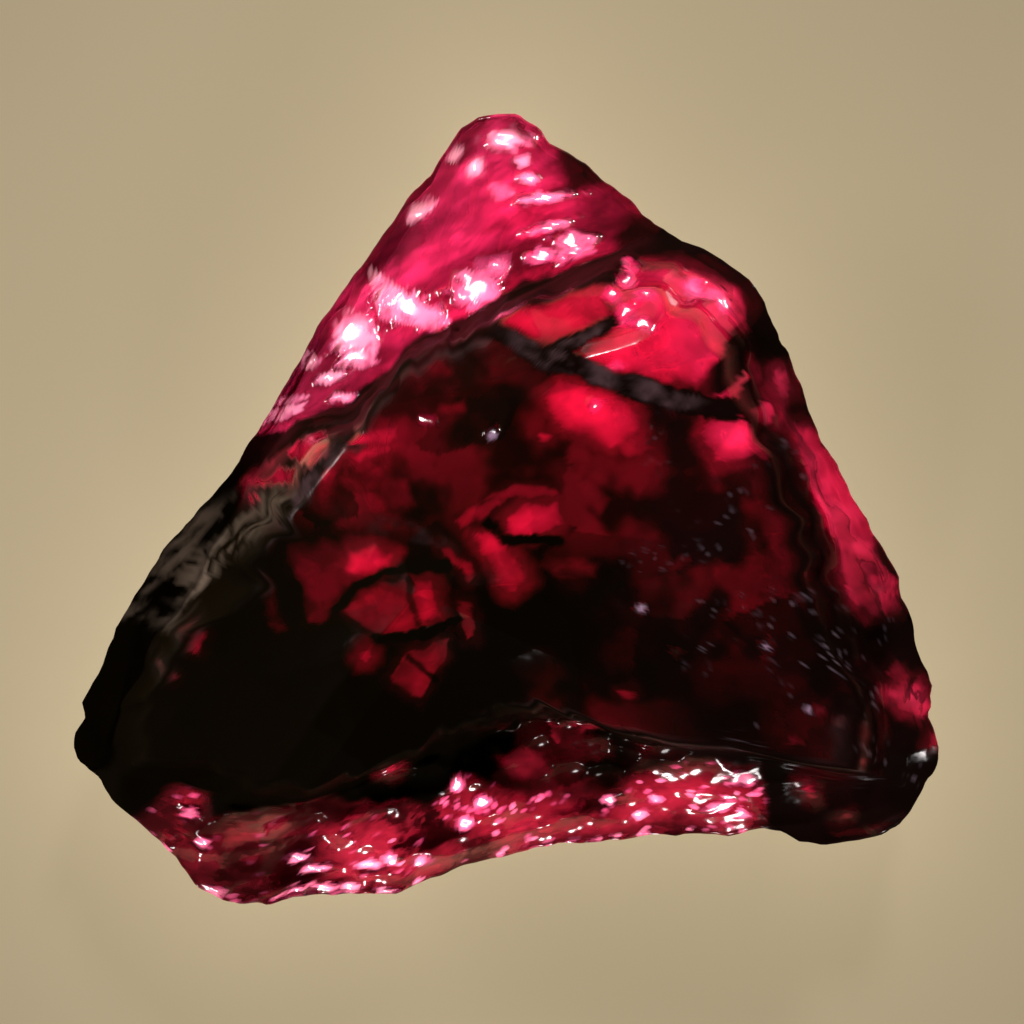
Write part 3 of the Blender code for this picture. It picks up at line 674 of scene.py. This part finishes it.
# Painted sparkles: the film of single grains is made pale, a painted highlight, most of them near
# the outer edge
chance = 0.01 + 0.14 * veil * lump ** 2 + 0.22 * (1 - fade(0.03, 0.16, inset))
painted_sparkle = fade(-0.03, 0.03, grain - 1 + chance) * fade(0.25, 0.7, grain_core)
painted_sparkle = painted_sparkle * fade(-0.5, 0.5, wander(u, v, 0.12, 215)) * (1 - fade(0.8, 1.8, inset))
print("sparkles on %.3f of the band" % (painted_sparkle * on_band)[on_band > 0.5].mean())

# %% Painted highlights: pale patches on the plate, given with the same values as the windows
HIGHLIGHT_PATCHES = [
    (1.0, 0.03, -2.42, 4.20, -2.21, 4.13, -1.79, 3.82, -1.30, 3.54, -0.91, 3.25, -1.30, 3.15,
     -1.82, 3.25, -2.14, 3.32, -2.28, 3.64),
    (1.0, 0.04, -2.91, 3.32, -2.60, 3.43, -2.32, 3.32, -2.21, 2.85, -2.35, 2.52, -2.67, 2.59,
     -2.98, 2.80, -3.02, 3.08),
    (1.0, 0.04, -0.84, 3.85, -0.60, 4.06, -0.25, 4.06, -0.07, 3.82, -0.32, 3.54, -0.67, 3.57),
    (0.7, 0.08, -0.49, 4.31, 0.04, 4.38, 0.00, 4.06, -0.42, 4.06),
    (1.0, 0.02, 0.33, 5.43, 0.72, 5.50, 1.02, 5.52, 1.02, 5.38, 0.72, 5.36, 0.33, 5.36),
    (0.9, 0.02, 0.56, 4.85, 0.84, 4.97, 1.19, 5.03, 1.09, 4.92, 0.77, 4.82),
    (0.9, 0.04, 0.98, 4.61, 1.19, 4.80, 1.44, 4.62, 1.58, 4.41, 1.30, 4.31, 1.02, 4.41),
    (0.8, 0.03, 0.60, 4.45, 0.88, 4.52, 0.95, 4.34, 0.70, 4.31),
    (1.0, 0.03, -0.21, 6.61, 0.04, 6.69, 0.35, 6.59, 0.14, 6.48, 0.21, 6.31, -0.07, 6.41),
    (0.8, 0.03, -0.67, 6.06, -0.49, 6.15, -0.35, 6.03, -0.53, 5.92),
    (0.6, 0.05, -0.28, 5.64, 0.04, 5.71, 0.21, 5.54, -0.07, 5.43),
    (0.8, 0.02, -2.96, 2.62, -2.53, 2.69, -2.21, 2.55, -2.49, 2.45),
    (0.7, 0.03, -3.58, 2.69, -3.40, 2.76, -3.33, 2.59, -3.51, 2.52),
    (0.7, 0.02, -4.21, 1.61, -3.86, 1.78, -3.51, 1.85, -3.58, 1.71, -3.93, 1.57, -4.25, 1.46),
    (0.6, 0.02, -4.07, 1.82, -3.75, 1.99, -3.44, 1.99, -3.68, 1.85),
    (1.0, 0.03, 1.74, 3.66, 1.86, 3.71, 1.95, 3.61, 1.86, 3.48, 1.75, 3.52),
    (0.9, 0.03, 2.07, 4.27, 2.19, 4.31, 2.28, 4.06, 2.21, 3.92, 2.09, 4.06),
    (0.45, 0.06, 2.21, 3.89, 2.42, 3.89, 2.49, 3.68, 2.32, 3.57, 2.19, 3.68),
    (0.5, 0.06, 1.95, 3.39, 2.21, 3.48, 2.39, 3.32, 2.35, 3.11, 2.11, 3.01, 1.95, 3.15),
    (0.4, 0.04, 2.39, 3.11, 2.60, 3.11, 2.65, 2.90, 2.47, 2.87),
    (1.0, 0.03, 3.18, 3.82, 3.33, 3.87, 3.42, 3.73, 3.32, 3.61, 3.19, 3.64),
    (0.5, 0.03, 3.47, 3.68, 3.65, 3.71, 3.68, 3.57, 3.51, 3.57),
    (1.0, 0.03, 3.68, 3.54, 3.82, 3.50, 3.79, 3.38, 3.68, 3.39),
    (0.5, 0.02, 1.75, 2.39, 2.07, 2.38, 2.00, 2.29, 1.79, 2.31),
    (0.6, 0.03, 1.47, 1.73, 1.60, 1.75, 1.63, 1.62, 1.51, 1.61),
]


def painted_highlight_patches(x, y):
    """The highest of the painted highlight patches, each with sides bent by the cloud formula and
    mottled.
    """
    wx, wy = bent(x, y, 0.07, 0.30, 211, 212)
    pale = np.zeros_like(x)
    for strength, soft, *corners in HIGHLIGHT_PATCHES:
        s = inside_distance(wx, wy, np.reshape(corners, (-1, 2)))
        pale = np.maximum(pale, strength * fade(-soft, soft, s))
    return pale * (0.45 + 0.55 * fade(-0.3, 0.1, cloud(x, y, 0.16, 213)))


print(len(HIGHLIGHT_PATCHES), "pale patches")

# %% Film colour and skin
TINT = np.array([1.0, 0.125, 0.26])       # colour that one clear surface lets through
HIGHLIGHT_WHITE = np.array([1.0, 0.95, 1.0])        # painted highlight: the film made nearly white, so the light below shows white
PINK = np.array([1.0, 0.18, 0.50])        # the same half way, the pink rim of a painted highlight
PLATE_TINT = np.array([1.0, 0.12, 0.60])  # the plate is less orange by this much
BAND_TINT = np.array([1.0, 0.40, 0.42])   # and the band is redder
BACK_FILM = np.array([1.0, 0.35, 0.45])   # the back has no dark skin


def film_colour(clear):
    """Base colour of the film: the tint times clearness squared, more purely red where dim."""
    return np.stack([clear ** 2, TINT[1] * clear ** 2.7, TINT[2] * clear ** 2.5], axis=-1)


def blend(under, over, share):
    """Colour under with colour over laid on it: under + (over - under) * share."""
    return under + (np.array(over) - under) * share[..., None]


thin = (1 - fade(1.0, 3.0, Z - low))[..., None]
film = film_colour(clear) * (1 - thin * (0.0, 0.8, 0.7))         # redder where the stone is thin
film = blend(film, film_colour(plate_clear) * PLATE_TINT, on_plate)
film = blend(film, film_colour(band_clear) * BAND_TINT, on_band)
# Painted highlights: where the film is made pale, the light below shows through white
painted_highlight = painted_highlight_patches(X, Y)
# painted highlight: the film is also made pale on and round each facet
painted_highlight = np.maximum(painted_highlight, flash * np.maximum(fade(0.05, 0.5, clear), on_plate))
# on the band, the pale cores of the facets and the painted sparkles
painted_highlight = np.maximum(painted_highlight, on_band * np.maximum(0.9 * flash ** 3, 0.9 * painted_sparkle)) * on_front
film = blend(film, blend(np.ones_like(film) * PINK, HIGHLIGHT_WHITE, painted_highlight ** 2), painted_highlight)
# The crest is the step and the first rings of the body, counted from the top of the step
ring = np.arange(len(part))[:, None] - (sum(RINGS.values()) - RINGS["body"])
crest = np.maximum(4 * up_the_step * (1 - up_the_step), np.exp(-(ring / 5.0) ** 2))
right = np.minimum(fade(-0.5, 0.5, X), fade(-3.5, -3.0, Y))
see_through = fade(0.15, 0.40, clear)
skin = np.maximum(1 - fade(0.01, 0.14, clear), crest * (1 - see_through))
steep = fade(0.25, 0.45, up_the_step) * (1 - fade(0.92, 1.0, up_the_step))
steep = right * steep * (1 - fade(1.3, 2.0, Y))
skin = np.maximum(skin, 0.95 * steep)         # a clear steep side would mirror the table here
skin = skin * (1 - on_plate) * (1 - on_band) * (1 - fade(0.1, 0.5, flash))
wall_patches = fade(-0.4, 0.5, cloud(U, V, 0.9, 177))
wall_clear = np.maximum(0.20 + 0.35 * wall_patches * patches, clear)
film = np.where(on_wall[..., None], film_colour(wall_clear), film)
film = np.where(on_back[..., None], BACK_FILM * (0.55 + 0.45 * patches[..., None]), film)
wall_skin = (1 - on_plate) * (1 - on_band) * (1 - 0.5 * wall_patches) * (1 - fade(0.1, 0.4, clear))
skin = np.where(on_wall, wall_skin, skin * on_front)
print("skin over %.2f of the front's points" % skin[front_rings].mean())

# %% [markdown]
# ## Painted sheen on the skin
# The grey on the left flank and on the crests of the veins is a painted sheen: it stands for the
# soft gleam of the lamps on that dull skin.  It does not follow the ridges, so its places are
# given here, and a stretched noise breaks it into streaks.

# %% Colours of the skin, and where each one lies
# Left flank: its skin colour gets a painted sheen, the gleam of the lamps on dull skin
FLANK = [(-7.00, -1.90), (-6.40, -0.90), (-5.60, 0.00), (-4.60, 0.35), (-3.70, 0.45),
         (-3.30, 0.15), (-4.00, -0.45), (-5.00, -1.10), (-5.80, -2.10)]
BLACK, FLANK_SHEEN = (0.007, 0.0045, 0.0015), (0.36, 0.27, 0.20)
RED_SKIN, LEDGE_SHADOW_RED = (0.020, 0.007, 0.006), (0.075, 0.010, 0.013)
BAND_SKIN = (0.120, 0.010, 0.014)
# A worn ridge: rougher, and grey in the skin colour, which is a painted sheen
WORN_SHEEN_RIDGE = [(-2.62, 1.22), (-2.78, 1.03), (-3.39, 0.28), (-3.72, -0.13), (-3.95, -0.35)]
WINDOW_RIDGE = [(1.40, 2.63), (1.90, 2.76), (2.37, 2.90)]
VEIN_SHEEN, SPECK_GLINT, GLINT_COLOUR = (0.21, 0.115, 0.135), (0.36, 0.27, 0.36), (0.95, 0.62, 0.95)
# Lines of painted sheen, also covered by the matte skin: half width in mm, share of sheen, path
SHEEN_LINES = [(0.16, 1.0, LONG_VEIN), (0.08, 0.7, SIDE_VEIN), (0.14, 0.20, LEFT_VEIN),
              (0.12, 0.50, WORN_SHEEN_RIDGE)]
# Painted glints: pale spots in the skin colour where a facet would flash: x, y, radius in mm
PAINTED_GLINTS = [(2.30, -1.69, 0.08), (4.44, -2.36, 0.06), (5.16, -3.43, 0.07),
               (-0.19, 1.20, 0.08)]
print(len(SHEEN_LINES), "weathered lines and", len(PAINTED_GLINTS), "pale grains")

# %% Colour of the skin
u, v = turned(U, V, 0.65, 3.0)
streaks = fade(-0.2, 0.5, cloud(u, v, 0.33, 181) + 0.6 * cloud(u, v, 0.12, 183))
streaks = streaks * (0.3 + 0.7 * fade(-0.3, 0.4, cloud(X, Y, 1.1, 185)))
flank = fade(-0.15, 0.25, inside_distance(X + 0.2 * cloud(X, Y, 0.9, 21), Y, FLANK))
skin = np.maximum(skin, 0.9 * flank * (1 - see_through) * on_front)
redness = fade(0.5, 3.5, np.maximum(X, Y)) * (0.4 + 0.6 * fade(-0.4, 0.4, cloud(X, Y, 0.9, 207)))
skin_colour = blend(np.ones_like(film) * BLACK, RED_SKIN, redness)
# painted sheen on the left flank, in streaks
skin_colour = blend(skin_colour, FLANK_SHEEN, flank * streaks)
murky = 0.85 * on_band * (1 - fade(0.05, 0.11, band_clear)) * (1 - painted_highlight) * on_front
skin, skin_colour = np.maximum(skin, murky), blend(skin_colour, BAND_SKIN, on_band)
# Dark red in the skin along the ledge, the colour of the painted shadow of the step
away, along = path_distance(X, Y, LEDGE)
reddish = (1 - fade(0.35, 0.75, away)) * fade(0.0, 0.3, along)
reddish = reddish * fade(-0.4, 0.4, cloud(u, v, 0.5, 209))
skin_colour = blend(skin_colour, LEDGE_SHADOW_RED, reddish)
# Painted sheen: the skin colour turns grey along the veins and the worn ridge, where the matte
# skin also covers them
for half_width, sheen_share, path in SHEEN_LINES:
    away, along = path_distance(*bent(X, Y, 0.09, 0.4, 25, 26), path)
    narrowing = half_width * (1 - 0.5 * fade(0.6, 1.0, along))
    cover = (1 - fade(0.8 * narrowing, 1.4 * narrowing, away)) * on_front
    skin = np.maximum(skin, cover * fade(0.1, 0.5, sheen_share + 0.4 * cloud(X, Y, 0.3, 195)))
    painted_sheen = sheen_share * cover * fade(0.0, 0.3, along) * (1 - fade(0.75, 1.0, along))
    painted_sheen = painted_sheen * fade(-0.5, 0.8, cloud(X, Y, 0.40, 191) + 0.6 * cloud(X, Y, 0.14, 193))
    skin_colour = blend(skin_colour, VEIN_SHEEN, painted_sheen)
# Painted glints: tiny pale specks in the skin colour on the right stand in for glints of light
speck, speck_core = shards(X + 0.1 * cloud(X, Y, 0.3, 203), Y, 0.09, 201)
glint_area = fade(1.0, 3.0, X + 0.4 * Y) * (1 - fade(1.0, 2.0, Y))
glint_area = glint_area * fade(0.0, 0.5, cloud(X, Y, 0.8, 205))
specks = fade(0.86, 0.97, speck) * fade(0.4, 0.8, speck_core) * glint_area
skin_colour = blend(skin_colour, SPECK_GLINT, 0.8 * specks)
for gx, gy, radius in PAINTED_GLINTS:
    pale = 1 - fade(0.5 * radius, 1.4 * radius, np.hypot(X - gx, Y - gy))
    skin, skin_colour = np.maximum(skin, pale), blend(skin_colour, GLINT_COLOUR, pale)
print("specks over %.3f of the front" % specks[front_rings].mean())

# %% Roughness of the clear surface
BREAK, PLATE_BREAK, WALL, BACK = 0.12, 0.13, 0.35, 0.95
WORN = 0.6                          # added where an edge is worn
roughness = BREAK + (PLATE_BREAK - BREAK) * on_plate
worn = crest * (1 - right) * (1 - see_through)
for ridge, half_width in ((WORN_SHEEN_RIDGE, 0.20), (WINDOW_RIDGE, 0.12)):
    away = path_distance(X, Y, ridge)[0]
    worn = np.maximum(worn, 1 - fade(0.3 * half_width, half_width, away))
roughness = roughness + WORN * worn
roughness = np.where(on_front, roughness, np.where(on_wall, WALL, BACK))
print("worn edges on %.2f of the front's points" % (worn[front_rings] > 0.5).mean())

# %% [markdown]
# ## Into the mesh
# The grid becomes one mesh with a pole at each end, so it is closed.  The film colour, the skin
# and the roughness are stored on its points for the material.

# %% Build the mesh
def ringed_mesh(name, x, y, z, lid=True):
    """Mesh of a grid of rings, wrapped round, with a point closing the first ring, and the last
    when lid is true.
    """
    rings, around = z.shape
    points = np.stack([x, y, z], axis=-1).reshape(-1, 3)
    first = [[x[0].mean(), y[0].mean(), z[0].mean()]]
    last = [[x[-1].mean(), y[-1].mean(), z[-1].mean()]]
    points = np.concatenate([first, points, last]) * MM
    index = 1 + np.arange(rings * around).reshape(rings, around)
    here, beside = index[:-1], np.roll(index[:-1], -1, axis=1)
    above, across = index[1:], np.roll(index[1:], -1, axis=1)
    quads = np.stack([here, beside, across, above], axis=-1).reshape(-1, 4)
    end = np.full(around, len(points) - 1)
    bottom = np.stack([0 * end, np.roll(index[0], -1), index[0]], axis=-1)
    top = np.stack([end, index[-1], np.roll(index[-1], -1)], axis=-1)
    mesh = bpy.data.meshes.new(name)
    faces = quads.tolist() + bottom.tolist() + (top.tolist() if lid else [])
    mesh.from_pydata(points.tolist(), [], faces)
    mesh.shade_smooth()
    return mesh


def store(mesh, name, values):
    """Put one value or colour per grid point on the mesh; each end takes its ring's mean."""
    colour = values.ndim == 3
    if colour:
        values = np.concatenate([values, np.ones_like(values[..., :1])], axis=-1)
    flat = values.reshape(-1, values.shape[-1]) if colour else values.reshape(-1, 1)
    ends = [values[k].reshape(-1, flat.shape[1]).mean(axis=0, keepdims=True) for k in (0, -1)]
    flat = np.concatenate([ends[0], flat, ends[1]]).astype(np.float32)
    kind, field = ("FLOAT_COLOR", "color") if colour else ("FLOAT", "value")
    mesh.attributes.new(name, kind, "POINT").data.foreach_set(field, flat.ravel())


def placed(name, data):
    """A new object that shows this data, linked into the scene."""
    made = bpy.data.objects.new(name, data)
    bpy.context.scene.collection.objects.link(made)
    return made


mesh = ringed_mesh("crystal_stone", X, Y, Z)
store(mesh, "film", film)
store(mesh, "skin colour", skin_colour)
store(mesh, "skin", skin)
store(mesh, "roughness", roughness * np.ones_like(Z))
stone = placed("crystal_stone", mesh)
print(len(mesh.polygons), "faces,", len(mesh.vertices), "points")

# %% [markdown]
# ## The crystal itself
# The red is inside the stone, not on it: light loses green and blue with every millimetre.  So
# the body is a plain clear shader with the refraction of painite and a plain absorption.  The
# film colour stands for what the inclusions at the surface let through; where it is made pale it
# is a painted highlight.

# %% A small helper for materials
class Nodes:
    """The node tree of one material, with one method that adds any node."""

    def __init__(self, name):
        self.material = bpy.data.materials.new(name)
        self.material.use_nodes = True
        self.tree = self.material.node_tree
        self.shader = self.tree.nodes["Principled BSDF"]

    def node(self, kind, settings=None, inputs=(), output=0):
        """Add a node, set its settings first, then its sockets by place or by name."""
        made = self.tree.nodes.new(kind)
        for key, value in (settings or {}).items():
            setattr(made, key, value)
        self.fill(made, inputs)
        return made.outputs[output]

    def fill(self, node, inputs):
        """For each socket, by place or by name, link an output to it or set a number or colour."""
        pairs = inputs.items() if isinstance(inputs, dict) else enumerate(inputs)
        for key, value in pairs:
            if isinstance(value, bpy.types.NodeSocket):
                self.tree.links.new(value, node.inputs[key])
            else:
                node.inputs[key].default_value = value

    def attribute(self, name, output):
        """One of the values stored on the points of the mesh."""
        return self.node("ShaderNodeAttribute", {"attribute_name": name}, output=output)


print("a helper with", len([name for name in vars(Nodes) if name[0] != "_"]), "methods")

# %% Clear crystal
REFRACTION = 1.79
LOST = {"red": 200, "green": 790, "blue": 490}      # per metre of crystal
RIPPLES_PER_M, RIPPLE_DEPTH = 7000.0, 0.000003

crystal = Nodes("painite")
place = crystal.node("ShaderNodeTexCoord", output="Object")
ripple = crystal.node("ShaderNodeTexNoise", None, {"Vector": place, "Scale": RIPPLES_PER_M,
                                                   "Detail": 0.0})
ripples = crystal.node("ShaderNodeBump", None, {"Height": ripple, "Strength": 1.0,
                                                "Distance": RIPPLE_DEPTH})
crystal.fill(crystal.shader, {
    "Base Color": crystal.attribute("film", "Color"), "Normal": ripples,
    "Roughness": crystal.attribute("roughness", "Fac"),
    "Transmission Weight": 1.0, "IOR": REFRACTION})
most = max(LOST.values())
absorb = crystal.node("ShaderNodeVolumeAbsorption", None, {
    "Color": [1 - LOST[k] / most for k in LOST] + [1.0], "Density": most})
print("light left after 5 mm: red %.3f, green %.4f, blue %.4f" % tuple(
    np.exp(-LOST[k] * 0.005) for k in LOST))

# %% Dark skin over it
SKIN_ROUGHNESS, SKIN_REFRACTION = 0.50, 1.04        # it hardly mirrors, even at its edges
# The skin colour holds the skin's own black and red, and painted sheen and painted glints too
dull_side = crystal.node("ShaderNodeBsdfPrincipled", None, {
    "Base Color": crystal.attribute("skin colour", "Color"), "Normal": ripples,
    "Roughness": SKIN_ROUGHNESS, "IOR": SKIN_REFRACTION})
surface = crystal.node("ShaderNodeMixShader", None, (
    crystal.attribute("skin", "Fac"), crystal.shader.outputs["BSDF"], dull_side))
crystal.fill(crystal.tree.nodes["Material Output"], {"Surface": surface, "Volume": absorb})
mesh.materials.append(crystal.material)
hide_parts("crystal")
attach(stone, "root")
print("the crystal's material has", len(crystal.tree.nodes), "nodes")

# %% [markdown]
# ## The table and the lamps
# Such a stone is looked at on a pale table that is lit from below, with small lamps to the
# side.  The table is a wide dish, flat under the stone and rising far behind it, so that there
# is no horizon.  The light under the stone is a sheet with the stone's own outline.  The camera
# does not see it directly, only through the crystal, so no bright rim shows beside the stone.

# %% The pale table
TABLE_GREY = np.array([0.24, 0.21, 0.15])
TABLE_LIGHT = np.array([0.35, 0.28, 0.17])  # radiance of the open table
TABLE_ROUGHNESS = 0.8
TABLE_BELOW, SHEET_BELOW = 0.05, 0.02       # mm under the face the stone rests on
WIDE, DISH = 300.0, 110.0                   # radius of the flat part and height of the dish, mm
DIM_FROM, DIM_TO, DIM_BY = 8.5, 24.0, 0.45  # the light fades between these radii, by this much


def table_points():
    """Rings round the stone, flat out to WIDE and then rising through a quarter turn."""
    way = np.linspace(0, 2 * np.pi, 240, endpoint=False)
    flat = np.concatenate([np.linspace(0.1, 12, 120), np.geomspace(12.5, WIDE, 30)])[:, None]
    turn = np.linspace(0, np.pi / 2, 16)[1:, None]
    r = np.concatenate([flat, WIDE + DISH * np.sin(turn)])
    z = np.concatenate([0 * flat, DISH * (1 - np.cos(turn))]) - TABLE_BELOW
    return r * np.cos(way), r * np.sin(way), z * np.ones_like(way)


def lit_surface(name, points, light, strength, grey):
    """Stage piece with a matte grey and a glow, both stored on its points."""
    piece_mesh = ringed_mesh(name, *points, lid=False)
    store(piece_mesh, "light", light)
    store(piece_mesh, "grey", grey)
    lit = Nodes(name)
    lit.fill(lit.shader, {
        "Base Color": lit.attribute("grey", "Color"), "Roughness": TABLE_ROUGHNESS,
        "Specular IOR Level": 0.0, "Emission Color": lit.attribute("light", "Color"),
        "Emission Strength": strength})
    lit.material.cycles.emission_sampling = "NONE"      # the rays find this light by themselves
    piece_mesh.materials.append(lit.material)
    piece = placed(name, piece_mesh)
    return piece


tx, ty, tz = table_points()
within = inside_distance(tx, ty, OUTLINE)
# The table's grey is black under the stone, a painted shadow there as well
open_table = (1 - fade(-0.1, 0.1, within))[..., None]
level = 1 - DIM_BY * fade(DIM_FROM, DIM_TO, np.hypot(tx, ty))
level = level * (1 + 0.4 * np.exp(np.minimum(within, 0) / 2))       # painted pool of light round the stone
level = level * (1 - 0.95 * fade(-0.1, 1.8, within))                # and a painted shadow under it
table = lit_surface("pale table", (tx, ty, tz), level[..., None] * TABLE_LIGHT, 1.0,
                    open_table * TABLE_GREY)
print("table of", len(table.data.polygons), "faces")

# %% The light sheet under the stone
GLOW = 5.2                                  # radiance under the stone
SOFT_EDGE = 0.45                            # mm over which it fades to the light of the table
share = np.linspace(0.01, 0.995, 80)[:, None]
sx, sy = [CENTRE[k] + share * (outline_points(240)[:, k] - CENTRE[k]) for k in (0, 1)]
glow = fade(0.0, SOFT_EDGE, inside_distance(sx, sy, OUTLINE))
sheet_light = blend(np.ones_like(sx)[..., None] * TABLE_LIGHT / GLOW, np.ones(3), glow)
sheet = lit_surface("light sheet", (sx, sy, 0 * sx - SHEET_BELOW), sheet_light, GLOW,
                    0 * sheet_light)
sheet.visible_camera = False
print("light under the stone is %.1f times that of the open table" % (GLOW / TABLE_LIGHT[0]))

# %% Lamps and room
LAMP_FAR = 0.15                                         # metres
LAMP_POWER = {"main": 0.10, "upper": 0.055, "low": 0.055}       # watts
LAMP_WIDE = {"main": 0.036, "upper": 0.026, "low": 0.026}       # metres
LAMP_COLOUR = (1.0, 0.94, 0.93)
ROOM_COLOUR, ROOM_LIGHT = (1.0, 0.80, 0.55, 1.0), 0.035


def round_lamp(name):
    """A round soft lamp that points at the middle of the stone from its own direction."""
    light = bpy.data.lights.new(name + " lamp", "AREA")
    light.shape, light.size, light.energy = "DISK", LAMP_WIDE[name], LAMP_POWER[name]
    light.color = LAMP_COLOUR
    holder = placed(name + " lamp", light)
    holder.location = Vector(lamp_direction(name)) * LAMP_FAR
    holder.rotation_euler = holder.location.to_track_quat("Z", "Y").to_euler()
    holder.visible_camera = False


for name in LAMPS:
    round_lamp(name)
room = bpy.data.worlds.new("room")
room.use_nodes = True
room.node_tree.nodes["Background"].inputs["Color"].default_value = ROOM_COLOUR
room.node_tree.nodes["Background"].inputs["Strength"].default_value = ROOM_LIGHT
bpy.context.scene.world = room
bpy.context.scene.view_settings.view_transform = "Standard"
print(len(LAMPS), "lamps", 1000 * LAMP_FAR, "mm away")

# %% [markdown]
# ## The camera
# The photograph was taken square on to the front, so the camera looks straight down.

# %% Camera
VIEW_WIDE, LENS, FILM_WIDE = 17.96, 120.0, 36.0     # mm seen across, focal length, film width
ASIDE, SHARP_AT = (0.14, -0.08), 2.5                # camera's x and y, and height seen that wide
camera_data = bpy.data.cameras.new("camera")
camera_data.lens, camera_data.sensor_width, camera_data.clip_start = LENS, FILM_WIDE, 0.001
camera = placed("camera", camera_data)
camera.location = (ASIDE[0] * MM, ASIDE[1] * MM, (SHARP_AT + VIEW_WIDE * LENS / FILM_WIDE) * MM)
bpy.context.scene.camera = camera
print("camera %.1f mm above the table" % (camera.location.z / MM))
